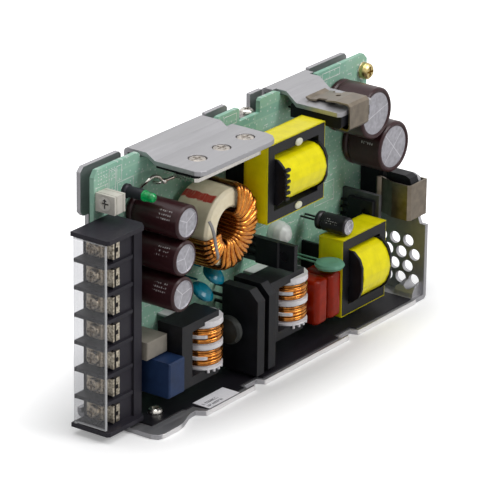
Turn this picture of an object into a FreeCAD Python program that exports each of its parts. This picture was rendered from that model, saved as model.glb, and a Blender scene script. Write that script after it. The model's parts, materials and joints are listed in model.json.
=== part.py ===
import FreeCAD, Part
import math
import os
import re
import Sketcher

os.makedirs("parts", exist_ok=True)
doc = FreeCAD.newDocument("SwitchingSupply")

# Open-frame switching power supply, millimetres.
# X runs along the length, with the terminal end at -X and the perforated end at +X.
# Y runs through the depth, with the back plate at +Y and the open side at -Y.
# Z is up, and the origin is the middle of the flange's underside.

SIZES = {
    # Folded sheet
    "sheet_thick": 1.5,
    "frame_len": 148.0,
    "frame_deep": 32.0,
    "frame_high": 82.5,
    "bend_rad": 1.6,
    "plate_inset": 4.0,
    "plate_end_gap": 2.6,
    "ear_high": 16.0,
    "relief_deep": 3.5,
    "bend_drop": 2.0,
    "notch_drop": 5.9,
    "ear_left_end": -54.0,
    "mid_ear_left": -10.5,
    "mid_ear_right": 0.8,
    "thin_ear_left": 13.2,
    "thin_ear_right": 19.6,
    "right_ear_left": 45.9,
    "right_ear_gap": 6.8,
    "right_drop": 3.0,
    "end_high": 26.6,
    "end_front": -15.4,
    "end_back": 13.4,
    "raised_front": -12.4,
    "raised_back": 3.0,
    "raised_high": 43.6,
    "vent_rad": 2.05,
    "vent_pitch": 5.35,
    "vent_row": 4.55,
    "vent_front": -11.35,
    "vent_low": 5.8,
    "gusset_front": -14.0,
    "gusset_back": -6.6,
    "gusset_run": 4.8,
    "gusset_rise": 4.4,
    "slot_front": -15.1,
    "slot_back": -13.3,
    "notch_deep": -12.9,
    "dip_start": 9.7,
    "snap_left": -23.9,
    "snap_right": 28.0,
    "snap_open": 5.6,
    "snap_finger": 3.5,
    "mount_hole_rad": 1.25,
    "mount_hole_span": 110.0,
    "mount_hole_drop": 20.5,
    "mount_hole_mid": 4.0,
    # Heat-sink tabs
    "tab_a_left": -50.6,
    "tab_a_neck": -12.5,
    "tab_a_right": -8.6,
    "tab_a_front": -13.9,
    "tab_a_drop": 2.0,
    "tab_a_back": 5.6,
    "joggle_a_high": 7.3,
    "joggle_a_low": 3.9,
    "tab_b_left": 21.2,
    "tab_b_right": 44.0,
    "neck_b_left": 23.0,
    "neck_b_right": 41.8,
    "neck_b_start": 11.5,
    "tab_b_front": -13.8,
    "tab_b_drop": 3.2,
    "joggle_b_high": 7.4,
    "joggle_b_low": 3.2,
    "ledge_left": 6.6,
    "ledge_front": 11.4,
    "tab_screw_x": -28.1,
    "tab_screw_y": -4.85,
    "tab_screw_pitch": 12.4,
    "tab_hole_rad": 1.7,
    "sink_rad": 3.1,
    # Insulation sheet on the flange
    "film_thick": 0.4,
    "film_left_gap": 5.0,
    "film_right_gap": 8.0,
    "film_front": -9.6,
    "film_front_b": -14.6,
    "film_back": 8.6,
    # Board
    "board_front": 9.3,
    "board_thick": 1.6,
    "board_end_gap": 2.4,
    "board_low": 3.2,
    "board_notch_deep": 4.6,
    "standoff_rad": 2.3,
    "board_screw_rad": 2.8,
    "board_screw_high": 2.7,
    "board_screw_low": 14.0,
    "screw_top_gap": 5.6,
    "screw_left_gap": 8.0,
    "screw_right_gap": 5.0,
    "washer_rad": 3.0,
    "washer_thick": 0.5,
    # Screws
    "flange_screw_in": 13.6,
    "flange_screw_y": -4.1,
    "flange_screw_rad": 2.3,
    "flange_screw_high": 2.0,
    "cover_screw_x": 10.2,
    "cover_screw_y": 13.6,
    "cover_screw_rad": 2.35,
    "cover_screw_high": 2.1,
    "shank_rad": 1.5,
    # Terminal block
    "pole_pitch": 9.0,
    "pole_count": 7,
    "block_out": 11.6,
    "block_front": -5.5,
    "block_back": 9.15,
    "block_in": 7.8,
    "block_low": 2.3,
    "block_cap": 1.4,
    "core_out": 5.4,
    "core_front": -2.4,
    "rib_thick": 1.2,
    "rib_inset": 1.6,
    "rib_short": 4.5,
    "rib_front": -3.2,
    "rear_wide": 3.9,
    "contact_y": 3.5,
    "contact_wide": 5.6,
    "contact_thick": 0.8,
    "contact_screw_rad": 2.3,
    "contact_screw_high": 1.7,
    "cover_thick": 0.8,
    "cover_inset": 0.3,
    "cover_front": -4.1,
    "cover_back": 8.3,
    "cover_gap": 0.35,
    "pin_rad": 0.6,
    "pin_clear": 0.06,
    # Trimmer
    "trim_inset": 0.7,
    "trim_long": 5.3,
    "trim_drop": 12.8,
    "trim_high": 5.9,
    "trim_deep": 7.5,
    "dial_rad": 2.3,
    "dial_high": 0.7,
    "dial_clear": 0.06,
    "dial_y": 5.6,
    # Lamp
    "lamp_in": 15.6,
    "lamp_drop": 10.6,
    "lamp_rad": 1.55,
    "lamp_tube_rad": 1.8,
    "lamp_sleeve": 7.2,
    "lamp_reach": 11.6,
    # Output capacitors
    "out_cap_rad": 5.65,
    "out_cap_long": 20.2,
    "out_cap_in": 20.7,
    "out_cap_drop": 18.0,
    "out_cap_pitch": 11.55,
    "out_cap_lean": 1.05,
    # Bulk capacitors
    "bulk_rad": 8.7,
    "bulk_long": 15.6,
    "bulk_a_in": 18.8,
    "bulk_a_drop": 13.7,
    "bulk_b_in": 8.0,
    "bulk_b_drop": 28.3,
    # Small capacitor lying over the second transformer
    "small_cap_rad": 3.1,
    "small_cap_long": 12.4,
    "small_cap_x": 36.4,
    "small_cap_y": 3.2,
    "small_cap_z": 35.3,
    # Toroid choke
    "ring_x": -26.0,
    "ring_drop": 28.7,
    "ring_back": 9.0,
    "ring_rad": 14.3,
    "ring_hole": 4.6,
    "ring_wide": 17.6,
    "coil_wall": 1.7,
    # Main transformer
    "xfa_left": -10.2,
    "xfa_long": 30.4,
    "xfa_drop": 31.7,
    "xfa_high": 25.6,
    "xfa_front": -10.0,
    "xfa_deep": 9.4,
    # Second transformer
    "xfb_left": 32.3,
    "xfb_long": 24.4,
    "xfb_low": 5.3,
    "xfb_high": 26.2,
    "xfb_front": -10.0,
    "xfb_deep": 9.6,
    "core_bar": 3.3,
    "leg_high": 7.0,
    "coil_clear": 0.25,
    "xfa_bulge": 4.3,
    "xfb_bulge": 5.4,
    "xfa_slack": 2.0,
    "xfb_slack": 1.0,
    "flange_wall": 1.0,
    "tape_thick": 0.3,
    "tape_clear": 0.05,
    # Line chokes
    "choke_a_left": -53.2,
    "choke_b_left": -7.4,
    "choke_long": 19.0,
    "choke_low": 7.8,
    "choke_high": 21.3,
    "choke_front": -9.0,
    "choke_deep": 9.6,
    "choke_post": 5.3,
    "choke_bar": 3.0,
    "spool_rad": 6.8,
    "spool_core": 5.7,
    "spool_wall": 0.7,
    "comb_thick": 0.5,
    "hood_high": 1.3,
    # Upright plates
    "bridge_left": -20.5,
    "bridge_thick": 3.8,
    "bridge_front": -14.1,
    "bridge_deep": 14.0,
    "bridge_low": 2.9,
    "bridge_high": 28.7,
    "shield_left": -13.6,
    "shield_front": -13.5,
    "plate_chamfer": 3.4,
    # Small parts
    "therm_x": -27.6,
    "therm_y": -7.2,
    "therm_z": 19.2,
    "therm_rad": 4.7,
    "therm_thick": 2.6,
    "blue_in": 12.4,
    "blue_long": 7.9,
    "blue_low": 8.3,
    "blue_high": 11.7,
    "blue_front": -10.6,
    "beige_in": 9.4,
    "beige_long": 10.2,
    "beige_low": 20.5,
    "beige_high": 5.9,
    "beige_front": -4.2,
    "film_cap_x": 20.5,
    "film_cap_pitch": 7.6,
    "film_cap_long": 7.0,
    "film_cap_front": -10.5,
    "film_cap_deep": 11.0,
    "film_cap_low": 6.6,
    "film_cap_high": 15.6,
    "disc_x": 26.6,
    "disc_y": -8.6,
    "disc_z": 25.2,
    "disc_rad": 5.0,
    "disc_thick": 3.0,
    "drop_rad": 4.1,
    "lead_rad": 0.35,
    "leg_wide": 0.8,
    "leg_thick": 0.5,
    "leg_pitch": 2.54,
    "seat_gap": 0.05,
    "bead_x": 20.4,
    "bead_z": 34.2,
    "bead_rad": 4.2,
    # Power devices
    "device_thick": 4.4,
    "tab_device_thick": 3.1,
    "tab_device_wide": 9.4,
    "slim_thick": 1.7,
    "device_wide": 10.0,
    "device_long": 15.0,
    "device_hole": 1.7,
    "press_left": -45.6,
    "press_right": -11.3,
    "press_front": -8.5,
    "press_back": 1.2,
    "press_thick": 1.3,
    "side_device_x": 0.6,
    "side_device_low": 31.6,
    "side_device_front": -12.9,
    "side_sink_thick": 1.5,
    "right_device_in": 16.6,
    "right_device_low": 27.7,
    "right_device_front": -4.0,
    "under_device_left": 24.6,
    "under_device_long": 15.8,
    "under_device_front": -13.4,
    "under_device_deep": 20.0,
    "end_device_low": 29.0,
    "end_device_high": 15.2,
    "end_device_round": 2.6,
    "end_device_front": -12.2,
    "clip_thick": 0.6,
    "clip_a_left": 27.2,
    "clip_a_wide": 10.6,
    "clip_a_front": -14.9,
    "clip_a_back": 1.8,
    "clip_a_drop": 7.3,
    "clip_b_low": 29.6,
    "clip_b_high": 12.4,
}

# Places that follow the ends and the top of the frame.
TIED = {
    "plate_right": "frame_len/2-plate_end_gap",
    "right_ear_right": "frame_len/2-right_ear_gap",
    "ear_low": "frame_high-ear_high",
    "relief_low": "frame_high-relief_deep",
    "bend_start": "frame_high-bend_drop",
    "notch_low": "frame_high-notch_drop",
    "right_low": "frame_high-right_drop",
    "mount_hole_z": "frame_high-mount_hole_drop",
    "tab_a_level": "frame_high-tab_a_drop",
    "tab_b_level": "frame_high-tab_b_drop",
    "film_left": "-frame_len/2+film_left_gap",
    "film_right": "frame_len/2-film_right_gap",
    "dip": "-frame_len/2+dip_start",
    "board_left": "-frame_len/2",
    "board_right": "frame_len/2-board_end_gap",
    "board_high": "frame_high",
    "board_notch_low": "frame_high-board_notch_deep",
    "board_screw_left": "-frame_len/2+screw_left_gap",
    "board_screw_right": "frame_len/2-screw_right_gap",
    "board_screw_top": "frame_high-screw_top_gap",
    "flange_screw_x": "-frame_len/2+flange_screw_in",
    "block_left": "-frame_len/2-block_out",
    "block_right": "-frame_len/2+block_in",
    "core_left": "-frame_len/2-core_out",
    "rib_left": "block_left+rib_inset",
    "rib_right": "block_right-rib_short",
    "rear_left": "block_right-rear_wide",
    "cover_left": "block_left+cover_inset",
    "trim_left": "-frame_len/2+trim_inset",
    "trim_low": "frame_high-trim_drop",
    "lamp_x": "-frame_len/2+lamp_in",
    "lamp_z": "frame_high-lamp_drop",
    "out_cap_x": "-frame_len/2+out_cap_in",
    "out_cap_z": "frame_high-out_cap_drop",
    "bulk_a_x": "frame_len/2-bulk_a_in",
    "bulk_a_z": "frame_high-bulk_a_drop",
    "bulk_b_x": "frame_len/2-bulk_b_in",
    "bulk_b_z": "frame_high-bulk_b_drop",
    "ring_z": "frame_high-ring_drop",
    "xfa_low": "frame_high-xfa_drop",
    "blue_left": "-frame_len/2+blue_in",
    "beige_left": "-frame_len/2+beige_in",
    "right_device_x": "frame_len/2-right_device_in",
    "clip_a_low": "tab_b_level-clip_a_drop",
}

sheet = doc.addObject("Spreadsheet::Sheet", "Sizes")
for row, (alias, number) in enumerate(SIZES.items(), start=1):
    sheet.set("A%d" % row, alias)
    sheet.set("B%d" % row, str(number))
    sheet.setAlias("B%d" % row, alias)
for row, (alias, rule) in enumerate(TIED.items(), start=len(SIZES) + 1):
    sheet.set("A%d" % row, alias)
    sheet.set("B%d" % row, "=" + rule)
    sheet.setAlias("B%d" % row, alias)
doc.recompute()

PARTS = {}
ALONG_MINUS_Y = FreeCAD.Rotation(FreeCAD.Vector(1, 0, 0), 90)
ALONG_PLUS_Y = FreeCAD.Rotation(FreeCAD.Vector(1, 0, 0), -90)
ALONG_MINUS_X = FreeCAD.Rotation(FreeCAD.Vector(0, 1, 0), -90)
ALONG_MINUS_Z = FreeCAD.Rotation(FreeCAD.Vector(1, 0, 0), 180)
UPRIGHT = FreeCAD.Rotation()


def size(alias):
    return number(alias)


def cell(text):
    """Text of an expression in which every alias names its cell in the sheet."""
    return re.sub(
        r"[a-z][a-z0-9_]*",
        lambda m: "Sizes." + m.group(0) if m.group(0) in {**SIZES, **TIED} else m.group(0),
        str(text),
    )


def bind(obj, prop, text):
    obj.setExpression(prop, cell(text))


def place(obj, at, turn=UPRIGHT):
    obj.Placement = FreeCAD.Placement(FreeCAD.Vector(0, 0, 0), turn)
    for axis, text in zip("xyz", at):
        bind(obj, "Placement.Base." + axis, text)


def keep(obj, label):
    obj.Label = label
    PARTS[label] = obj
    return obj


def new_body(label):
    body = doc.addObject("PartDesign::Body", label + "_body")
    if hasattr(body, "AllowCompound"):
        body.AllowCompound = True
    return keep(body, label)


def origin_item(body, role):
    return [item for item in body.Origin.OriginFeatures if item.Role == role][0]


def new_sketch(body, role, lift=None):
    sketch = body.newObject("Sketcher::SketchObject", "Sketch")
    sketch.AttachmentSupport = [(origin_item(body, role), "")]
    sketch.MapMode = "FlatFace"
    if lift is not None:
        bind(sketch, "AttachmentOffset.Base.z", lift)
    return sketch


TOKEN = re.compile(r"\s*([0-9.]+|[a-z][a-z0-9_]*|[-+*/()])")


def number(text):
    """Value of an expression of aliases and numbers, worked out by hand."""
    key = str(text)
    if key not in NUMBERS:
        tokens = TOKEN.findall(key)
        NUMBERS[key] = total(tokens)
    return NUMBERS[key]


def total(tokens):
    found = product(tokens)
    while tokens and tokens[0] in "+-":
        sign = tokens.pop(0)
        term = product(tokens)
        found = found + term if sign == "+" else found - term
    return found


def product(tokens):
    found = factor(tokens)
    while tokens and tokens[0] in "*/":
        sign = tokens.pop(0)
        term = factor(tokens)
        found = found * term if sign == "*" else found / term
    return found


def factor(tokens):
    token = tokens.pop(0)
    if token == "-":
        return -factor(tokens)
    if token == "+":
        return factor(tokens)
    if token == "(":
        found = total(tokens)
        tokens.pop(0)
        return found
    if token in SIZES:
        return SIZES[token]
    if token in TIED:
        return number(TIED[token])
    return float(token)


NUMBERS = {}


def outline(sketch, points):
    """Closed polygon whose corners are held from the origin by named dimensions."""
    first = sketch.GeometryCount
    held = sketch.ConstraintCount
    count = len(points)
    rough = [FreeCAD.Vector(number(a), number(b), 0) for a, b in points]
    lines = [Part.LineSegment(rough[i], rough[(i + 1) % count]) for i in range(count)]
    sketch.addGeometry(lines, False)
    rules = []
    for i in range(count):
        j = (i + 1) % count
        rules.append(Sketcher.Constraint("Coincident", first + i, 2, first + j, 1))
    for i in range(count):
        rules.append(Sketcher.Constraint("DistanceX", -1, 1, first + i, 1, rough[i].x))
        rules.append(Sketcher.Constraint("DistanceY", -1, 1, first + i, 1, rough[i].y))
    sketch.addConstraint(rules)
    for i in range(count):
        for side, axis in enumerate("xy"):
            index = held + count + 2 * i + side
            if not any(c.isalpha() for c in points[i][side]):
                continue
            bind(sketch, "Constraints[%d]" % index, points[i][side])
    return sketch


def ring(sketch, at, rad):
    """Circle at a point, with centre and radius held by dimensions."""
    index = sketch.GeometryCount
    held = sketch.ConstraintCount
    centre = FreeCAD.Vector(number(at[0]), number(at[1]), 0)
    sketch.addGeometry(Part.Circle(centre, FreeCAD.Vector(0, 0, 1), number(rad)), False)
    sketch.addConstraint(
        [
            Sketcher.Constraint("DistanceX", -1, 1, index, 3, centre.x),
            Sketcher.Constraint("DistanceY", -1, 1, index, 3, centre.y),
            Sketcher.Constraint("Radius", index, number(rad)),
        ]
    )
    for step, text in enumerate((at[0], at[1], rad)):
        if any(c.isalpha() for c in text):
            bind(sketch, "Constraints[%d]" % (held + step), text)
    return sketch


def pad(body, sketch, length, reverse=False):
    feature = body.newObject("PartDesign::Pad", "Pad")
    feature.Profile = sketch
    feature.Reversed = reverse
    bind(feature, "Length", length)
    doc.recompute()
    return feature


def pocket(body, sketch, length, reverse=False, through=False):
    before = body.Shape.Volume
    feature = body.newObject("PartDesign::Pocket", "Pocket")
    feature.Profile = sketch
    feature.Reversed = reverse
    if through:
        feature.Type = "ThroughAll"
        feature.Midplane = True
    else:
        bind(feature, "Length", length)
    doc.recompute()
    if not body.Shape.Volume < before - 1e-6:
        raise RuntimeError("a pocket cut nothing in " + body.Label)
    return feature


def spin(body, sketch, angle="360"):
    feature = body.newObject("PartDesign::Revolution", "Revolution")
    feature.Profile = sketch
    feature.ReferenceAxis = (sketch, ["V_Axis"])
    bind(feature, "Angle", angle)
    doc.recompute()
    return feature


def edges_near(shape, test):
    """Names of the edges whose middle passes a test."""
    names = []
    for index, edge in enumerate(shape.Edges, start=1):
        middle = edge.valueAt((edge.FirstParameter + edge.LastParameter) / 2)
        if test(middle, edge):
            names.append("Edge%d" % index)
    return names


def round_edges(body, rad, test, kind="Fillet"):
    base = body.Tip
    names = edges_near(base.Shape, test)
    if not names:
        raise RuntimeError("no edge to round on " + body.Label)
    feature = body.newObject("PartDesign::" + kind, kind)
    feature.Base = (base, names)
    bind(feature, "Radius" if kind == "Fillet" else "Size", rad)
    doc.recompute()
    return feature


def row_of(body, features, direction, length, count):
    """The same features repeated along one axis of the body."""
    feature = body.newObject("PartDesign::LinearPattern", "Row")
    feature.Originals = features
    feature.Direction = (origin_item(body, direction), [""])
    bind(feature, "Length", length)
    bind(feature, "Occurrences", count)
    body.Tip = feature
    doc.recompute()
    return feature


def prism(label, role, points, length, lift=None, at=None, turn=UPRIGHT, reverse=False):
    """Body padded from one polygon."""
    body = new_body(label)
    sketch = outline(new_sketch(body, role, lift), points)
    pad(body, sketch, length, reverse)
    if at is not None:
        place(body, at, turn)
    return body


def turned(label, profile, at, turn=UPRIGHT, angle="360"):
    """Body of revolution about its own Z axis."""
    body = new_body(label)
    sketch = outline(new_sketch(body, "XZ_Plane"), profile)
    spin(body, sketch, angle)
    place(body, at, turn)
    return body


def rod(name, rad, length, at, turn=UPRIGHT):
    cylinder = doc.addObject("Part::Cylinder", name)
    bind(cylinder, "Radius", rad)
    bind(cylinder, "Height", length)
    place(cylinder, at, turn)
    return cylinder


def lead(body, role, points, rad, start, stop):
    """Round wires drawn in a plane at `start` and padded as far as `stop`."""
    sketch = new_sketch(body, role, start)
    for spot in points:
        ring(sketch, spot, rad)
    return pad(body, sketch, "(%s)-(%s)" % (stop, start))


def legs(body, centre, levels, wide, thick, near):
    """Flat legs that run back to the board from the plane Y = near."""
    sketch = new_sketch(body, "XZ_Plane", "-(%s)" % near)
    for level in levels:
        outline(
            sketch,
            [
                ("%s-(%s)/2" % (centre, wide), "%s-(%s)/2" % (level, thick)),
                ("%s+(%s)/2" % (centre, wide), "%s-(%s)/2" % (level, thick)),
                ("%s+(%s)/2" % (centre, wide), "%s+(%s)/2" % (level, thick)),
                ("%s-(%s)/2" % (centre, wide), "%s+(%s)/2" % (level, thick)),
            ],
        )
    return pad(body, sketch, "board_front-seat_gap-(%s)" % near, reverse=True)


def fuse(name, pieces):
    joined = doc.addObject("Part::MultiFuse", name)
    joined.Shapes = pieces
    joined.Refine = True
    doc.recompute()
    return joined


def group(name, pieces):
    together = doc.addObject("Part::Compound", name)
    together.Links = pieces
    doc.recompute()
    return together


def along(edge, axis):
    direction = edge.tangentAt(edge.FirstParameter)
    return abs(getattr(direction, axis)) > 0.999 and edge.Length > 0.3


# The folded sheet: back plate, flange, perforated end plate and two joggled tabs.
chassis = new_body("chassis")
half = "frame_len/2"
rear = "frame_deep/2"
front = "-frame_deep/2"

plate_points = [
    ("-" + half, "0"),
    ("plate_right", "0"),
    ("plate_right", "right_low"),
    ("right_ear_right", "right_low"),
    ("right_ear_right", "frame_high-1.2"),
    ("right_ear_right-1.2", "frame_high"),
    ("right_ear_left", "frame_high"),
    ("right_ear_left", "relief_low"),
    ("tab_b_right", "relief_low"),
    ("tab_b_right", "bend_start"),
    ("tab_b_left", "bend_start"),
    ("tab_b_left", "relief_low"),
    ("thin_ear_right", "relief_low"),
    ("thin_ear_right", "frame_high"),
    ("thin_ear_left", "frame_high"),
    ("thin_ear_left", "notch_low"),
    ("mid_ear_right", "notch_low"),
    ("mid_ear_right", "frame_high-1"),
    ("mid_ear_right-1", "frame_high"),
    ("mid_ear_left", "frame_high"),
    ("mid_ear_left", "relief_low"),
    ("tab_a_neck", "relief_low"),
    ("tab_a_neck", "bend_start"),
    ("tab_a_left", "bend_start"),
    ("tab_a_left", "relief_low"),
    ("ear_left_end", "relief_low"),
    ("ear_left_end", "frame_high-1"),
    ("ear_left_end-1", "frame_high"),
    ("-" + half + "+1.5", "frame_high"),
    ("-" + half, "frame_high-1.5"),
    ("-" + half, "ear_low+1.5"),
    ("-" + half + "+1.5", "ear_low"),
    ("-" + half + "+plate_inset", "ear_low"),
    ("-" + half + "+plate_inset", "3"),
    ("-" + half, "3"),
]
plate_sketch = outline(new_sketch(chassis, "XZ_Plane", "-frame_deep/2"), plate_points)
pad(chassis, plate_sketch, "sheet_thick")

flange_points = [
    ("-" + half, rear),
    ("-" + half, front + "+3"),
    ("-" + half + "+0.88", front + "+0.88"),
    ("-" + half + "+3", front),
    ("dip", front),
    ("dip+3.3", front + "+0.5"),
    ("dip+6.3", front + "+1.6"),
    ("dip+9.3", "notch_deep-0.3"),
    ("dip+11.3", "notch_deep"),
    ("dip+13.1", "notch_deep"),
    ("dip+15.1", front),
    ("snap_left", front),
    ("snap_left", "slot_front"),
    ("snap_left-snap_finger", "slot_front"),
    ("snap_left-snap_finger+1.2", "slot_back"),
    ("snap_left+snap_open-1.1", "slot_back"),
    ("snap_left+snap_open", front),
    ("snap_right", front),
    ("snap_right", "slot_front"),
    ("snap_right-snap_finger", "slot_front"),
    ("snap_right-snap_finger+1.2", "slot_back"),
    ("snap_right+snap_open-1.1", "slot_back"),
    ("snap_right+snap_open", front),
    (half + "-7.5", front),
    (half + "-5.5", "end_front"),
    (half, "end_front"),
    (half, "end_back"),
    ("plate_right", "end_back"),
    ("plate_right", rear),
]
flange_sketch = outline(new_sketch(chassis, "XY_Plane"), flange_points)
pad(chassis, flange_sketch, "sheet_thick")

end_points = [
    ("end_front", "0"),
    ("end_back", "0"),
    ("end_back", "end_high"),
    ("raised_back", "end_high"),
    ("raised_back", "raised_high"),
    ("raised_front+2.8", "raised_high"),
    ("raised_front+0.8", "raised_high-0.8"),
    ("raised_front", "raised_high-2.8"),
    ("raised_front", "end_high+1.9"),
    ("raised_front-0.8", "end_high"),
    ("end_front", "end_high"),
]
end_sketch = outline(
    new_sketch(chassis, "YZ_Plane", "frame_len/2-sheet_thick"), end_points
)
pad(chassis, end_sketch, "sheet_thick")

gusset_sketch = outline(
    new_sketch(chassis, "XZ_Plane", "-gusset_back"),
    [
        ("frame_len/2-sheet_thick-gusset_run", "sheet_thick"),
        ("frame_len/2-sheet_thick+0.2", "sheet_thick"),
        ("frame_len/2-sheet_thick+0.2", "sheet_thick+gusset_rise"),
        ("frame_len/2-sheet_thick-gusset_run*0.3", "sheet_thick+gusset_rise*0.93"),
        ("frame_len/2-sheet_thick-gusset_run*0.7", "sheet_thick+gusset_rise*0.7"),
        ("frame_len/2-sheet_thick-gusset_run*0.93", "sheet_thick+gusset_rise*0.3"),
    ],
)
pad(chassis, gusset_sketch, "gusset_back-gusset_front")

neck_a = outline(
    new_sketch(chassis, "YZ_Plane", "tab_a_left"),
    [
        (rear, "bend_start"),
        (rear, "frame_high"),
        ("joggle_a_high", "frame_high"),
        ("joggle_a_low", "tab_a_level"),
        ("joggle_a_low", "tab_a_level-sheet_thick"),
        ("joggle_a_high-0.4", "frame_high-sheet_thick"),
        (rear + "-sheet_thick", "frame_high-sheet_thick"),
        (rear + "-sheet_thick", "bend_start"),
    ],
)
pad(chassis, neck_a, "tab_a_neck-tab_a_left")
tab_a = outline(
    new_sketch(chassis, "XY_Plane", "tab_a_level-sheet_thick"),
    [
        ("tab_a_left", "joggle_a_low+0.02"),
        ("tab_a_left", "tab_a_front+2.6"),
        ("tab_a_left+0.76", "tab_a_front+0.76"),
        ("tab_a_left+2.6", "tab_a_front"),
        ("tab_a_right-6", "tab_a_front"),
        ("tab_a_right-3.2", "tab_a_front+0.7"),
        ("tab_a_right-0.9", "tab_a_front+3"),
        ("tab_a_right", "tab_a_front+6"),
        ("tab_a_right", "tab_a_back"),
        ("tab_a_neck", "tab_a_back"),
        ("tab_a_neck", "joggle_a_low+0.02"),
    ],
)
pad(chassis, tab_a, "sheet_thick")

neck_b = outline(
    new_sketch(chassis, "YZ_Plane", "tab_b_left"),
    [
        (rear, "bend_start"),
        (rear, "frame_high"),
        ("neck_b_start", "frame_high"),
        ("neck_b_start", "frame_high-sheet_thick"),
        (rear + "-sheet_thick", "frame_high-sheet_thick"),
        (rear + "-sheet_thick", "bend_start"),
    ],
)
pad(chassis, neck_b, "tab_b_right-tab_b_left")
slope_b = outline(
    new_sketch(chassis, "YZ_Plane", "neck_b_left"),
    [
        ("neck_b_start+0.05", "frame_high"),
        ("joggle_b_high", "frame_high"),
        ("joggle_b_low", "tab_b_level"),
        ("joggle_b_low", "tab_b_level-sheet_thick"),
        ("joggle_b_high-0.5", "frame_high-sheet_thick"),
        ("neck_b_start+0.05", "frame_high-sheet_thick"),
    ],
)
pad(chassis, slope_b, "neck_b_right-neck_b_left")
tab_b = outline(
    new_sketch(chassis, "XY_Plane", "tab_b_level-sheet_thick"),
    [
        ("neck_b_left", "joggle_b_low+0.02"),
        ("neck_b_left", "tab_b_front+1"),
        ("neck_b_left+1", "tab_b_front"),
        ("neck_b_right-1", "tab_b_front"),
        ("neck_b_right", "tab_b_front+1"),
        ("neck_b_right", "joggle_b_low+0.02"),
    ],
)
pad(chassis, tab_b, "sheet_thick")

ledge = outline(
    new_sketch(chassis, "XY_Plane", "notch_low-sheet_thick"),
    [
        ("ledge_left", rear),
        ("ledge_left", "ledge_front"),
        ("thin_ear_left", "ledge_front"),
        ("thin_ear_left", rear),
    ],
)
pad(chassis, ledge, "sheet_thick")

vents = new_sketch(chassis, "YZ_Plane", "frame_len/2-sheet_thick/2")
for line in range(4):
    for step in range(5 - line % 2):
        y_text = "vent_front+vent_pitch*%s" % (step + 0.5 * (line % 2))
        z_text = "vent_low+vent_row*%d" % line
        if number(y_text) < 11.5:
            ring(vents, (y_text, z_text), "vent_rad")
pocket(chassis, vents, "sheet_thick", through=True)

mount_holes = new_sketch(chassis, "XZ_Plane", "-frame_deep/2+sheet_thick/2")
for side in ("-", "+"):
    ring(
        mount_holes,
        ("mount_hole_mid%smount_hole_span/2" % side, "mount_hole_z"),
        "mount_hole_rad",
    )
pocket(chassis, mount_holes, "sheet_thick", through=True)

tab_holes = new_sketch(chassis, "XY_Plane", "tab_a_level")
for step in (-1, 0, 1):
    ring(
        tab_holes,
        ("tab_screw_x+tab_screw_pitch*%d" % step, "tab_screw_y"),
        "tab_hole_rad",
    )
pocket(chassis, tab_holes, "sheet_thick+1")

fix_holes = new_sketch(chassis, "XY_Plane", "notch_low")
ring(fix_holes, ("cover_screw_x", "cover_screw_y-0.6"), "shank_rad-0.2")
pocket(chassis, fix_holes, "sheet_thick+0.5")

round_edges(
    chassis,
    "bend_rad",
    lambda p, e: (
        along(e, "x")
        and abs(p.y - size("frame_deep") / 2) < 1e-3
        and (abs(p.z) < 1e-3 or (abs(p.z - size("frame_high")) < 1e-3 and e.Length > 21))
    )
    or (along(e, "y") and abs(p.x - size("frame_len") / 2) < 1e-3 and abs(p.z) < 1e-3),
)
sink = new_sketch(chassis, "XY_Plane", "tab_a_level")
for step in (-1, 0, 1):
    ring(sink, ("tab_screw_x+tab_screw_pitch*%d" % step, "tab_screw_y"), "sink_rad")
pocket(chassis, sink, "0.8")

# Black insulating film on the flange.
film = prism(
    "flange_insulation",
    "XY_Plane",
    [
        ("film_left", "film_back"),
        ("film_left", "film_front"),
        ("dip+10.6", "film_front"),
        ("dip+11.9", "film_front-0.8"),
        ("dip+15.3", "film_front-0.8"),
        ("dip+16.3", "film_front_b"),
        ("snap_left-snap_finger-0.6", "film_front_b"),
        ("snap_left-snap_finger-0.2", "slot_back+0.7"),
        ("snap_left+snap_open", "slot_back+0.7"),
        ("snap_left+snap_open+0.6", "film_front_b"),
        ("snap_right-snap_finger-0.6", "film_front_b"),
        ("snap_right-snap_finger-0.2", "slot_back+0.7"),
        ("snap_right+snap_open", "slot_back+0.7"),
        ("snap_right+snap_open+0.6", "film_front_b"),
        ("film_right", "film_front_b"),
        ("film_right", "film_back"),
    ],
    "film_thick",
    at=("0", "0", "sheet_thick+0.02"),
)
hole = new_sketch(film, "XY_Plane", "film_thick")
ring(hole, ("flange_screw_x", "flange_screw_y"), "flange_screw_rad+0.3")
pocket(film, hole, "film_thick+1")

# Circuit board, with cut-outs for the two tabs and the top screw.
board = prism(
    "main_board",
    "XZ_Plane",
    [
        ("board_left", "board_low"),
        ("board_right", "board_low"),
        ("board_right", "board_high-2"),
        ("board_right-2", "board_high"),
        ("neck_b_right+1.2", "board_high"),
        ("neck_b_right+0.5", "board_high-1.8"),
        ("neck_b_right+0.5", "frame_high-sheet_thick-0.5"),
        ("neck_b_left-0.5", "frame_high-sheet_thick-0.5"),
        ("neck_b_left-0.5", "board_high-0.6"),
        ("20.6", "board_high"),
        ("12.2", "board_high"),
        ("11.4", "board_high-0.8"),
        ("11.4", "board_notch_low"),
        ("0.4", "board_notch_low"),
        ("0.4", "board_high-0.6"),
        ("-0.2", "board_high"),
        ("-10.8", "board_high"),
        ("tab_a_neck+0.5", "board_high-1.2"),
        ("tab_a_neck+0.5", "frame_high-sheet_thick-0.5"),
        ("tab_a_left-0.5", "frame_high-sheet_thick-0.5"),
        ("tab_a_left-0.5", "board_high-1"),
        ("tab_a_left-1.5", "board_high"),
        ("board_left+1.6", "board_high"),
        ("board_left", "board_high-2.2"),
    ],
    "board_thick",
    lift="-board_front-board_thick",
    at=("0", "0", "0"),
)

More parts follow.
